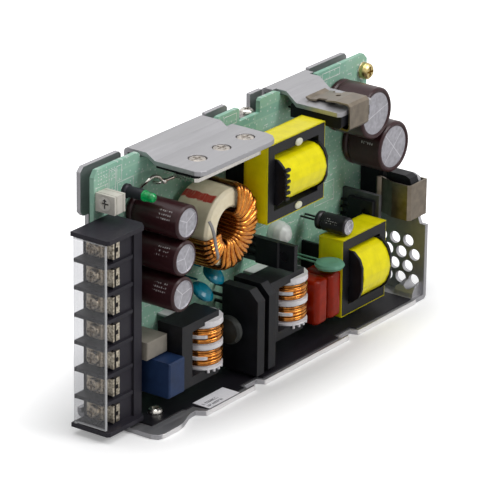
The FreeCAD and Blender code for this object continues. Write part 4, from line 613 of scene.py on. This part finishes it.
FINISH = {
    "sheet_metal": sheet_finish(),
    "insulating_film": finish(
        "film_finish", (0.009, 0.008, 0.011), rough=0.4, patch=0.25, grain=0.2,
        grain_scale=1800.0, stretch=(0.2, 1, 1),
    ),
    "circuit_board": board_finish(),
    "plated_steel": finish(
        "plated_finish", (0.70, 0.67, 0.62), rough=0.26, metal=1.0, grain=0.1, patch_scale=700.0
    ),
    "yellow_brass": finish(
        "brass_finish", (0.60, 0.47, 0.20), rough=0.3, metal=1.0, patch_scale=800.0
    ),
    "block_plastic": finish(
        "block_finish", (0.022, 0.020, 0.027), rough=0.42, grain=0.25, grain_scale=3500.0
    ),
    "clear_plastic": clear_finish(),
    "trimmer_plastic": finish("trimmer_finish", (0.66, 0.63, 0.56), grain=0.2),
    "rotor_plastic": rotor_finish(),
    "lamp_plastic": lamp_finish(),
    "copper_wire": wire_finish("wire_finish", ring_depth),
    "black_epoxy": finish(
        "epoxy_finish", (0.007, 0.007, 0.009), rough=0.45, patch=0.3, grain=0.35,
        grain_scale=4000.0,
    ),
    "dark_plate": finish("dark_plate_finish", (0.10, 0.10, 0.105), rough=0.42, metal=0.6, patch=0.2),
    "spring_steel": finish(
        "spring_finish", (0.22, 0.185, 0.145), rough=0.36, metal=1.0, patch=0.2, patch_scale=400.0
    ),
    "gray_disc": finish("disc_gray_finish", (0.014, 0.016, 0.014), patch=0.3, coat=0.2),
    "blue_box": finish(
        "blue_finish", (0.016, 0.036, 0.098), rough=0.36, patch=0.2, grain=0.3, grain_scale=2500.0
    ),
    "beige_box": finish("beige_finish", (0.27, 0.245, 0.205), grain=0.3, grain_scale=2500.0),
    "red_dip": finish(
        "red_finish", (0.25, 0.012, 0.001), rough=0.16, patch=0.25, specular=0.16, grain=0.05,
        round_off=0.6 * MM,
    ),
    "green_disc": finish(
        "green_finish", (0.12, 0.29, 0.20), rough=0.45, patch=0.15, grain=0.25, grain_scale=2500.0
    ),
    "teal_drop": finish(
        "teal_finish", (0.0, 0.18, 0.27), rough=0.2, patch=0.2, coat=0.12, grain=0.05,
        round_off=0.6 * MM,
    ),
    "white_sealant": finish(
        "sealant_finish", (0.74, 0.76, 0.75), rough=0.3, coat=0.3, grain=0.2, grain_scale=900.0,
        round_off=0.8 * MM,
    ),
    "ferrite": finish(
        "ferrite_finish", (0.010, 0.010, 0.012), rough=0.42, patch=0.4, grain=0.4,
        grain_scale=3000.0, specular=0.25,
    ),
    "white_plastic": finish(
        "white_finish", (0.76, 0.74, 0.76), rough=0.38, grain=0.15,
        extra={"Subsurface Weight": 0.15, "Subsurface Radius": (1.0 * MM, 1.0 * MM, 1.0 * MM)},
    ),
    "yellow_tape": tape_finish(),
}
SCREW_METAL = finish(
    "terminal_screw_finish", (0.50, 0.42, 0.31), rough=0.3, metal=1.0, patch=0.45,
    patch_scale=1100.0, grain=0.2,
)
TAB_SCREW_METAL = finish(
    "tab_screw_finish", (0.46, 0.42, 0.38), rough=0.3, metal=1.0, patch=0.3, patch_scale=900.0
)
STRAP = finish("strap_finish", (0.27, 0.26, 0.26), rough=0.3, patch=0.15)
GLUE = finish("glue_finish", (0.72, 0.72, 0.58), rough=0.35, coat=0.3)
INK = finish("ink_finish", (0.80, 0.84, 0.80), patch=0.15, grain=0.2)


# Materials of the CAD nodes

BROWN_SLEEVE = (0.035, 0.010, 0.012)
BLACK_SLEEVE = (0.014, 0.011, 0.015)
# Each can with its sleeve, the score on its end, and the score's turn in radians.
CANS = (
    ("output_capacitor_1", BROWN_SLEEVE, "star", 0.5),
    ("output_capacitor_2", BROWN_SLEEVE, "star", 0.9),
    ("output_capacitor_3", BROWN_SLEEVE, "star", 0.2),
    ("bulk_capacitor_1", BROWN_SLEEVE, "line", 0.25),
    ("bulk_capacitor_2", BROWN_SLEEVE, "cross", 0.75),
    ("small_capacitor", BLACK_SLEEVE, "cross", 0.4),
)


def dress(node_name, material):
    """Gives a CAD node one material."""
    mesh = NODES[node_name].data
    mesh.materials.clear()
    mesh.materials.append(material)


for node_name in NODES:
    if SLOT_OF[node_name] in FINISH:
        dress(node_name, FINISH[SLOT_OF[node_name]])
for node_name, sleeve, score, turn in CANS:
    dress(node_name, can_finish(node_name + "_finish", node_name, sleeve, score, turn))
dress("toroid_core", ring_finish())
dress("terminal_plates", clamp_finish())
dress("terminal_screws", SCREW_METAL)
dress("terminal_washers", SCREW_METAL)
dress("tab_screws", TAB_SCREW_METAL)


# Mesh helpers; a shape is a pair of vertices and faces

def add_piece(name, shape, slot, material=None, smooth=True, stands_for=()):
    """A shape in the supply's frame that rides on the supply, in its slot's finish or its own."""
    verts, faces = shape
    mesh = bpy.data.meshes.new(name)
    mesh.from_pydata(verts, [], faces)
    mesh.update()
    piece = bpy.data.objects.new(name, mesh)
    bpy.context.scene.collection.objects.link(piece)
    mesh.materials.append(material or FINISH[slot])
    for polygon in mesh.polygons:
        polygon.use_smooth = smooth
    if stands_for:
        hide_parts(*stands_for)
    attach(piece, SUPPLY)


def gather(parts):
    """Several shapes as one."""
    verts, faces = [], []
    for some_verts, some_faces in parts:
        start = len(verts)
        verts.extend(some_verts)
        faces.extend(tuple(i + start for i in f) for f in some_faces)
    return verts, faces


def tube(path, radius, sides=8, closed=False):
    """Round wire along a path."""
    points = [Vector(p) for p in path]
    count = len(points)
    tangents = []
    for i in range(count):
        before = points[i - 1] if (i or closed) else points[i]
        after = points[(i + 1) % count] if (i < count - 1 or closed) else points[i]
        tangents.append((after - before).normalized())
    side = tangents[0].orthogonal().normalized()
    verts = []
    for i in range(count):
        if i:
            turn = tangents[i - 1].rotation_difference(tangents[i])
            side = (turn @ side).normalized()
        side = (side - tangents[i] * side.dot(tangents[i])).normalized()
        other = tangents[i].cross(side)
        for k in range(sides):
            angle = 2 * math.pi * k / sides
            verts.append(points[i] + side * math.cos(angle) * radius + other * math.sin(angle) * radius)
    shift = 0
    if closed:
        last = verts[(count - 1) * sides:count * sides]
        shift = min(range(sides), key=lambda k: (verts[k] - last[0]).length)
    faces = []
    for i in range(count if closed else count - 1):
        j = (i + 1) % count
        step = shift if j == 0 else 0
        for k in range(sides):
            m = (k + 1) % sides
            faces.append(
                (
                    i * sides + k,
                    i * sides + m,
                    j * sides + (m + step) % sides,
                    j * sides + (k + step) % sides,
                )
            )
    if not closed:
        faces.append(tuple(range(sides - 1, -1, -1)))
        faces.append(tuple((count - 1) * sides + k for k in range(sides)))
    return verts, faces


def smooth_path(points, steps):
    """Points on a rounded line through the given ones."""
    ends = [points[0] * 2 - points[1]] + list(points) + [points[-1] * 2 - points[-2]]
    path = []
    for i in range(1, len(ends) - 2):
        a, b, c, d = ends[i - 1:i + 3]
        for k in range(steps):
            t = k / steps
            path.append(
                (b * 2 + (c - a) * t + (a * 2 - b * 5 + c * 4 - d) * t * t
                 + (b * 3 - a - c * 3 + d) * t * t * t) * 0.5
            )
    path.append(ends[-2])
    return path


def pebble(centre, spread, sides=12, rings=6):
    """Smooth drop of glue or solder."""
    centre = Vector(centre)
    verts = [centre + Vector((0, 0, spread[2]))]
    for i in range(1, rings):
        tilt = math.pi * i / rings
        for k in range(sides):
            angle = 2 * math.pi * k / sides
            out = (
                spread[0] * math.sin(tilt) * math.cos(angle),
                spread[1] * math.sin(tilt) * math.sin(angle),
                spread[2] * math.cos(tilt),
            )
            verts.append(centre + Vector(out))
    verts.append(centre - Vector((0, 0, spread[2])))
    faces = [(0, 1 + k, 1 + (k + 1) % sides) for k in range(sides)]
    for i in range(rings - 2):
        a = 1 + i * sides
        for k in range(sides):
            m = (k + 1) % sides
            faces.append((a + k, a + sides + k, a + sides + m, a + m))
    last = 1 + (rings - 2) * sides
    faces.extend((len(verts) - 1, last + (k + 1) % sides, last + k) for k in range(sides))
    return verts, faces


def soft_block(low, high, bevel, segments=2):
    """Box with rounded edges."""
    shape = bmesh.new()
    bmesh.ops.create_cube(shape, size=1.0)
    span = [high[i] - low[i] for i in range(3)]
    for vert in shape.verts:
        vert.co = Vector([low[i] + span[i] / 2 + vert.co[i] * span[i] for i in range(3)])
    bmesh.ops.bevel(
        shape,
        geom=list(shape.edges),
        offset=min(bevel, min(span) * 0.45),
        segments=segments,
        affect="EDGES",
        profile=0.5,
    )
    shape.verts.index_update()
    verts = [v.co.copy() for v in shape.verts]
    faces = [tuple(v.index for v in f.verts) for f in shape.faces]
    shape.free()
    return verts, faces


# Windings of the ring choke

ARC_STEPS = 6
# Shares of the wire's thickness, for the middle of a turn: how far it stands off the ring, what
# its second layer adds, how much it strays, and the radius of its bends.
OFF_HOLE = 0.58
OFF_RIM = 0.60
OFF_FACES = 0.56
LAYER_IN_HOLE = 0.80
LAYER_ON_FACES = 0.25
STRAY = 0.10
BEND = 1.5


def points_between(start, stop, count):
    """Points at even steps between two others, without these."""
    shares = [(i + 1) / (count + 1) for i in range(count)]
    return [tuple(a + (b - a) * share for a, b in zip(start, stop)) for share in shares]


def turn_outline(inner, outer, front, back, corner):
    """One turn of wire seen along the ring: a rounded rectangle, as (radius, y)."""
    low, high = inner + corner, outer - corner
    centres = ((high, front + corner), (high, back - corner), (low, back - corner), (low, front + corner))
    straights = {
        1: points_between((high, back), (low, back), 3),
        3: points_between((low, front), (high, front), 4),
    }
    outline = []
    for quarter, (radius, y) in enumerate(centres):
        for k in range(ARC_STEPS):
            swing = math.pi / 2 * (quarter - 1 + k / (ARC_STEPS - 1))
            outline.append((radius + corner * math.cos(swing), y + corner * math.sin(swing)))
        outline.extend(straights.get(quarter, ()))
    return outline


def ring_turns(start, stop, count, wire, layers, lean):
    """Turns round the ring between two angles in degrees, each twisted by the lean from back to front."""
    parts = []
    for i in range(count):
        at = math.radians(start + (stop - start) * i / (count - 1))
        stray = random.uniform(-STRAY, STRAY) * wire
        layer = i % layers
        inner = RING_HOLE - wire * (OFF_HOLE + LAYER_IN_HOLE * layer) + stray
        outer = RING_RADIUS + wire * OFF_RIM + stray
        lift = wire * (OFF_FACES + LAYER_ON_FACES * layer) + abs(stray)
        front = RING_LOW[1] - lift
        back = RING_HIGH[1] + lift
        reach = (back - front) / 2
        path = []
        for radius, y in turn_outline(inner, outer, front, back, wire * BEND):
            share = (radius - inner) / (outer - inner)
            depth = (RING_MIDDLE[1] - y) / reach
            angle = at + math.radians(lean) * (share - 0.5) * depth
            x = RING_MIDDLE[0] + radius * math.cos(angle)
            path.append((x, y, RING_MIDDLE[2] + radius * math.sin(angle)))
        parts.append(tube(path, wire / 2, closed=True))
    return gather(parts)


add_piece(
    "ring_turns",
    ring_turns(start=-118, stop=70, count=24, wire=1.48 * MM, layers=2, lean=16.0),
    "copper_wire",
    stands_for=["toroid_winding"],
)
add_piece(
    "ring_turns_short",
    ring_turns(start=186, stop=226, count=6, wire=1.5 * MM, layers=1, lean=0.0),
    "copper_wire",
    stands_for=["toroid_second_winding"],
)


# Strap and leads of the ring, in millimetres from the ring's axis and from its front or back

STRAP_LINE = (
    (-12.6, -1.3, 6.0), (-12.7, -2.3, 4.8), (-12.5, -2.9, 2.8), (-11.9, -3.1, 0.1),
    (-11.0, -3.1, -3.6), (-10.1, -3.0, -6.0), (-9.5, -2.3, -7.4),
)
STRAP_PROFILE = ((-0.72, 0.15), (-0.5, -0.15), (0.5, -0.15), (0.72, 0.15))
LONG_LEAD = (
    (-8.5, -1.1, 16.8), (-11.5, -0.8, 17.1), (-14.5, -0.8, 17.2), (-17.0, -0.8, 17.4),
    (-19.4, -0.8, 19.4), (-22.0, -0.7, 20.2), (-24.2, -0.3, 19.4), (-25.0, 1.3, 17.6),
    (-25.2, 1.9, 16.8),
)
SHORT_LEAD = ((-16.0, -1.3, 17.8), (-17.0, -1.0, 17.4), (-18.0, 0.1, 16.8), (-18.4, 1.9, 16.6))
SOLDER_DROP = (-17.0, -1.2, 17.4)
RING_FRONT = Vector((RING_MIDDLE[0], RING_LOW[1], RING_MIDDLE[2]))
RING_BACK = Vector((RING_MIDDLE[0], RING_HIGH[1], RING_MIDDLE[2]))


def placed(spots, origin):
    """Points in metres from offsets in millimetres."""
    return [origin + Vector(spot) * MM for spot in spots]


def ring_strap():
    """Flat tie across the front of the ring, between the two windings."""
    curve = smooth_path(placed(STRAP_LINE, RING_FRONT), 3)
    sides = len(STRAP_PROFILE)
    verts = [point + Vector((out, lift, 0.0)) * MM for point in curve for out, lift in STRAP_PROFILE]
    faces = []
    for a in range(0, len(verts) - sides, sides):
        for k in range(sides):
            m = (k + 1) % sides
            faces.append((a + k, a + m, a + sides + m, a + sides + k))
    faces.append(tuple(reversed(range(sides))))
    faces.append(tuple(range(len(verts) - sides, len(verts))))
    return verts, faces


def ring_leads():
    """Two tinned leads twisted together and soldered, and down to the board."""
    parts = [
        tube(smooth_path(placed(line, RING_BACK), 6), radius * MM)
        for line, radius in ((LONG_LEAD, 0.55), (SHORT_LEAD, 0.5))
    ]
    parts.append(pebble(placed([SOLDER_DROP], RING_BACK)[0], (1.0 * MM, 0.9 * MM, 1.0 * MM)))
    return gather(parts)


add_piece("ring_strap", ring_strap(), "white_plastic", STRAP)
add_piece("ring_leads", ring_leads(), "plated_steel")


# Windings on the choke spools

SPOOL_WIRE = 0.98 * MM
SPOOL_WALL = 1.4 * MM
# Radius in millimetres, turns, first share and length of the rise, for each layer of wire.
SPOOL_LAYERS = ((6.0, 6, 0.0, 1.0), (6.28, 3, 0.16, 0.62))
STEPS_PER_TURN = 28
LAYER_PHASE = 0.9
SECTION_PHASE_PER_METRE = 900
WAVER = 0.10 * MM
SWAY = 0.22 * MM


def spool_turns(node_name):
    """Two sections of wire on a spool, with an uneven second layer."""
    low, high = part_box(node_name)
    middle = middle_of(node_name)
    section = (high[2] - low[2] - SPOOL_WALL) / 2
    room = section - SPOOL_WIRE
    parts = []
    for base in (low[2], low[2] + section + SPOOL_WALL):
        for layer, (radius, turns, first, rise) in enumerate(SPOOL_LAYERS):
            path = []
            for k in range(turns * STEPS_PER_TURN + 1):
                share = k / (turns * STEPS_PER_TURN)
                angle = 2 * math.pi * turns * share + LAYER_PHASE * layer
                out = radius * MM + WAVER * math.sin(angle / 2 + base * SECTION_PHASE_PER_METRE)
                sway = SWAY * math.sin(angle + layer)
                path.append(
                    (
                        middle[0] + out * math.cos(angle),
                        middle[1] + out * math.sin(angle),
                        base + SPOOL_WIRE / 2 + room * (first + rise * share) + sway,
                    )
                )
            parts.append(tube(path, SPOOL_WIRE / 2, 6))
    return gather(parts)


for number in (1, 2):
    name = f"spool_turns_{number}"
    node_name = f"choke_{number}_winding"
    material = wire_finish(name + "_finish", spool_depth(node_name))
    add_piece(name, spool_turns(node_name), "copper_wire", material, stands_for=[node_name])


# Painted shade block, glue and former teeth

BOARD_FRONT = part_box("main_board")[0][1]
# Painted shade block, in millimetres from the device's left side, the board's front, and the device's lower
# and upper end.
SHADE_BLOCK_X = (0.9, 3.2)
SHADE_BLOCK_Y = (-8.3, -0.3)
SHADE_BLOCK_Z = (1.5, -0.6)
SHADE_BLOCK_BEVEL = 0.4
# In millimetres: offset in X and Z from the middle of the core, and the drop's half width and height.
GLUE_DROPS = ((0.9, 10.3, 1.9, 1.25), (1.2, -11.2, 1.9, 1.25), (14.2, -2.7, 0.7, 0.5))
GLUE_FORWARD = 0.15
GLUE_HALF_DEPTH = 0.75
TEETH = 6
TOOTH_PITCH = 1.9
TOOTH_HALF = 0.55
TOOTH_LONG = (2.0, 2.5)
TOOTH_OUT = 0.2
TOOTH_FORWARD = 0.25
TOOTH_INWARD = 1.1
TOOTH_BEVEL = 0.3


def painted_shade_block():
    """Black block by the legs of the device at the right end; it fills a see-through gap with painted shade.
    """
    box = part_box("end_device")
    corners = [
        (box[0][0] + SHADE_BLOCK_X[i] * MM, BOARD_FRONT + SHADE_BLOCK_Y[i] * MM, box[i][2] + SHADE_BLOCK_Z[i] * MM)
        for i in range(2)
    ]
    return soft_block(*corners, SHADE_BLOCK_BEVEL * MM)


def glue_drops():
    """Drops of glue on the front of the large transformer's core."""
    middle = middle_of("main_transformer_core")
    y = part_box("main_transformer_core")[0][1] - GLUE_FORWARD * MM
    parts = []
    for x, z, wide, tall in GLUE_DROPS:
        spread = (wide * MM, GLUE_HALF_DEPTH * MM, tall * MM)
        parts.append(pebble((middle[0] + x * MM, y, middle[2] + z * MM), spread, 16, 8))
    return gather(parts)


def former_teeth():
    """Teeth of the large transformer's former, over the left end of its winding."""
    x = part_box("main_transformer_former")[0][0]
    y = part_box("main_transformer_winding")[0][1]
    middle = middle_of("main_transformer_winding")[2]
    parts = []
    for i in range(TEETH):
        z = middle + (i - (TEETH - 1) / 2) * TOOTH_PITCH * MM
        parts.append(
            soft_block(
                (x - TOOTH_OUT * MM, y - TOOTH_FORWARD * MM, z - TOOTH_HALF * MM),
                (x + TOOTH_LONG[i % 2] * MM, y + TOOTH_INWARD * MM, z + TOOTH_HALF * MM),
                TOOTH_BEVEL * MM,
            )
        )
    return gather(parts)


# Painted shade: a black block fills the gap by the legs of the right-end device.
add_piece("painted_shade_block", painted_shade_block(), "black_epoxy", smooth=False)
add_piece("glue_drops", glue_drops(), "white_sealant", GLUE)
add_piece("former_teeth", former_teeth(), "black_epoxy", smooth=False)


# Print on the board, in the frame's millimetres

PRINT_LINE = 0.22
# Lowest x and z, then highest x and z, of each component's printed outline.
PRINTED_FRAMES = (
    (-73.0, 68.6, -67.0, 76.8),
    (-66.6, 73.6, -63.2, 80.6),
    (-62.8, 76.0, -60.2, 81.0),
    (-62.4, 69.2, -54.4, 75.6),
    (-66.2, 27.4, -53.0, 34.6),
    (-48.6, 30.0, -36.0, 37.0),
    (-12.6, 38.0, -2.0, 49.0),
    (6.8, 38.0, 17.0, 44.0),
    (22.0, 40.0, 34.0, 49.0),
    (24.0, 52.0, 33.0, 60.0),
    (34.0, 53.0, 42.0, 62.0),
    (43.0, 36.0, 54.0, 43.0),
    (-8.0, 78.0, -1.0, 81.4),
    (46.0, 79.0, 56.0, 81.6),
)
PRINT_DEPTHS = (0.02, 0.004)
# Block of ticks at the board's upper left corner, by column and row.
TICK_COUNT = (7, 4)
TICK_START = (-72.0, 77.6)
TICK_STEP = (1.3, 1.1)
TICK_SIZE = (0.7, 0.28)
TICKS_LEFT_OUT = ((2, 1), (5, 1))
# Loose ticks, strewn over the board.
LOOSE_TICKS = 60
LOOSE_X = (-52, 68)
LOOSE_Z = (32, 78)
LOOSE_WIDE = (0.6, 2.4)
LOOSE_TALL = 0.25


def strip(x0, z0, x1, z1):
    """Thin printed patch on the board's front, from millimetres."""
    x0, z0, x1, z1 = (v * MM for v in (x0, z0, x1, z1))
    y0, y1 = (BOARD_FRONT - depth * MM for depth in PRINT_DEPTHS)
    verts = [
        (x0, y0, z0), (x1, y0, z0), (x1, y0, z1), (x0, y0, z1),
        (x0, y1, z0), (x1, y1, z0), (x1, y1, z1), (x0, y1, z1),
    ]
    faces = [(0, 1, 2, 3), (7, 6, 5, 4), (0, 4, 5, 1), (1, 5, 6, 2), (2, 6, 7, 3), (3, 7, 4, 0)]
    return verts, faces


def printed_frame(x0, z0, x1, z1):
    """Outline of a component's place."""
    return [
        strip(x0, z0, x1, z0 + PRINT_LINE),
        strip(x0, z1 - PRINT_LINE, x1, z1),
        strip(x0, z0 + PRINT_LINE, x0 + PRINT_LINE, z1 - PRINT_LINE),
        strip(x1 - PRINT_LINE, z0 + PRINT_LINE, x1, z1 - PRINT_LINE),
    ]


def board_print():
    """Outlines, one block of ticks at the board's corner, and loose ticks all over."""
    marks = []
    for outline in PRINTED_FRAMES:
        marks.extend(printed_frame(*outline))
    for row in range(TICK_COUNT[1]):
        for column in range(TICK_COUNT[0]):
            if (column, row) not in TICKS_LEFT_OUT:
                x = TICK_START[0] + column * TICK_STEP[0]
                z = TICK_START[1] + row * TICK_STEP[1]
                marks.append(strip(x, z, x + TICK_SIZE[0], z + TICK_SIZE[1]))
    for _ in range(LOOSE_TICKS):
        x = random.uniform(*LOOSE_X)
        z = random.uniform(*LOOSE_Z)
        wide = random.uniform(*LOOSE_WIDE)
        marks.append(strip(x, z, x + wide, z + LOOSE_TALL))
    return gather(marks)


def flange_label():
    """Sticker on the film of the flange."""
    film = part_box("flange_insulation")[1][2]
    corners = [
        (LABEL_X[i] * MM, LABEL_Y[i] * MM, film + LABEL_HEIGHT[i] * MM) for i in range(2)
    ]
    return soft_block(*corners, LABEL_BEVEL * MM, segments=1)


add_piece("board_print", board_print(), "circuit_board", INK, smooth=False)
add_piece("flange_label", flange_label(), "white_plastic", label_finish(), smooth=False)


# Floor

FLOOR_REACH = 8.0
FLOOR_Z = -0.1 * MM
FLOOR_TINTS = ((0.86, 0.86, 0.86), (0.88, 0.88, 0.88))
# The glow of the floor grows between these distances, where X counts less than Y.
GLOW_SQUEEZE = (0.4, 1.0, 1.0)
GLOW_FROM = 22.0 * MM
GLOW_TO = 58.0 * MM
GLOW_SPAN = (0.03, 0.8)


def on_rays(tree, *kinds):
    """1 on rays of the given kinds."""
    rays = node(tree, "ShaderNodeLightPath")
    return highest(tree, *(rays.outputs[f"Is {kind} Ray"] for kind in kinds))


def floor_finish():
    """Pale floor that takes the shadow and brightens to white away from the supply."""
    material, tree = new_material("floor_finish")
    tint = blend_colors(tree, noise(tree, 3.0, 2.0), *FLOOR_TINTS)
    skin = node(tree, "ShaderNodeBsdfDiffuse", {"Color": tint})
    squeezed = node(
        tree, "ShaderNodeVectorMath", {0: position(tree), 1: GLOW_SQUEEZE}, operation="MULTIPLY"
    ).outputs["Vector"]
    away = node(tree, "ShaderNodeVectorMath", {0: squeezed}, operation="LENGTH").outputs["Value"]
    lift = times(
        tree,
        on_rays(tree, "Camera", "Transmission"),
        ramp(tree, away, GLOW_FROM, GLOW_TO, *GLOW_SPAN),
    )
    glow = node(tree, "ShaderNodeEmission", {"Color": rgba(WHITE), "Strength": lift})
    both = node(tree, "ShaderNodeAddShader", {0: skin.outputs[0], 1: glow.outputs[0]})
    node(tree, "ShaderNodeOutputMaterial", {"Surface": both.outputs[0]})
    return material


def add_floor():
    """Flat floor, just under the supply."""
    corners = [(x, y, FLOOR_Z) for x, y in ((-1, -1), (1, -1), (1, 1), (-1, 1))]
    mesh = bpy.data.meshes.new("floor")
    mesh.from_pydata([(x * FLOOR_REACH, y * FLOOR_REACH, z) for x, y, z in corners], [], [(0, 1, 2, 3)])
    mesh.materials.append(floor_finish())
    floor = bpy.data.objects.new("floor", mesh)
    bpy.context.scene.collection.objects.link(floor)


add_floor()


# Camera, as fitted to the photograph

CAMERA_PLACE = (-0.91664, -0.66168, 0.48077)
CAMERA_RIGHT = Vector((0.59155, -0.80617, 0.01225))
CAMERA_UP = Vector((0.28824, 0.22565, 0.93059))
CAMERA_FORWARD = Vector((0.75298, 0.54696, -0.36586))
FOCAL_PIXELS = 3790.1
PHOTO_PIXELS = 500.0
SENSOR_WIDTH = 36.0
CLIP_END = 50.0

camera_data = bpy.data.cameras.new("camera")
camera_data.sensor_width = SENSOR_WIDTH
camera_data.lens = FOCAL_PIXELS / PHOTO_PIXELS * SENSOR_WIDTH
camera_data.clip_end = CLIP_END
camera = bpy.data.objects.new("camera", camera_data)
turned = Matrix((CAMERA_RIGHT, CAMERA_UP, -CAMERA_FORWARD)).transposed().to_4x4()
camera.matrix_world = Matrix.Translation(CAMERA_PLACE) @ turned
bpy.context.scene.collection.objects.link(camera)
bpy.context.scene.camera = camera


# Lamps and world

LAMP_AIM = Vector((0, 0, 0.04))
# Name, place, width and height in metres, and power in watts.
LAMPS = (
    ("top_box", (-0.05, 0.02, 1.05), 1.15, 0.85, 6.2),
    ("front_box", (0.30, -0.85, 0.72), 0.5, 0.4, 5.6),
    ("left_box", (-0.9, -0.35, 0.45), 0.4, 0.5, 0.45),
)
AMBIENT = (0.12, 0.12, 0.125)


def area_light(name, place, width, height, power):
    """Soft box that looks at the supply."""
    data = bpy.data.lights.new(name, "AREA")
    data.shape = "RECTANGLE"
    data.size = width
    data.size_y = height
    data.energy = power
    light = bpy.data.objects.new(name, data)
    light.location = place
    light.rotation_euler = (LAMP_AIM - Vector(place)).to_track_quat("-Z", "Y").to_euler()
    bpy.context.scene.collection.objects.link(light)


def add_world():
    """World that is white where it is seen or mirrored, and dim as a source of light."""
    world = bpy.data.worlds.new("world")
    bpy.context.scene.world = world
    world.use_nodes = True
    tree = world.node_tree
    tree.nodes.clear()
    tone = blend_colors(tree, on_rays(tree, "Camera", "Transmission", "Glossy"), AMBIENT, WHITE)
    sky = node(tree, "ShaderNodeBackground", {"Color": tone, "Strength": 1.0})
    node(tree, "ShaderNodeOutputWorld", {"Surface": sky.outputs[0]})


for lamp in LAMPS:
    area_light(*lamp)
add_world()
bpy.context.scene.view_settings.view_transform = "Standard"
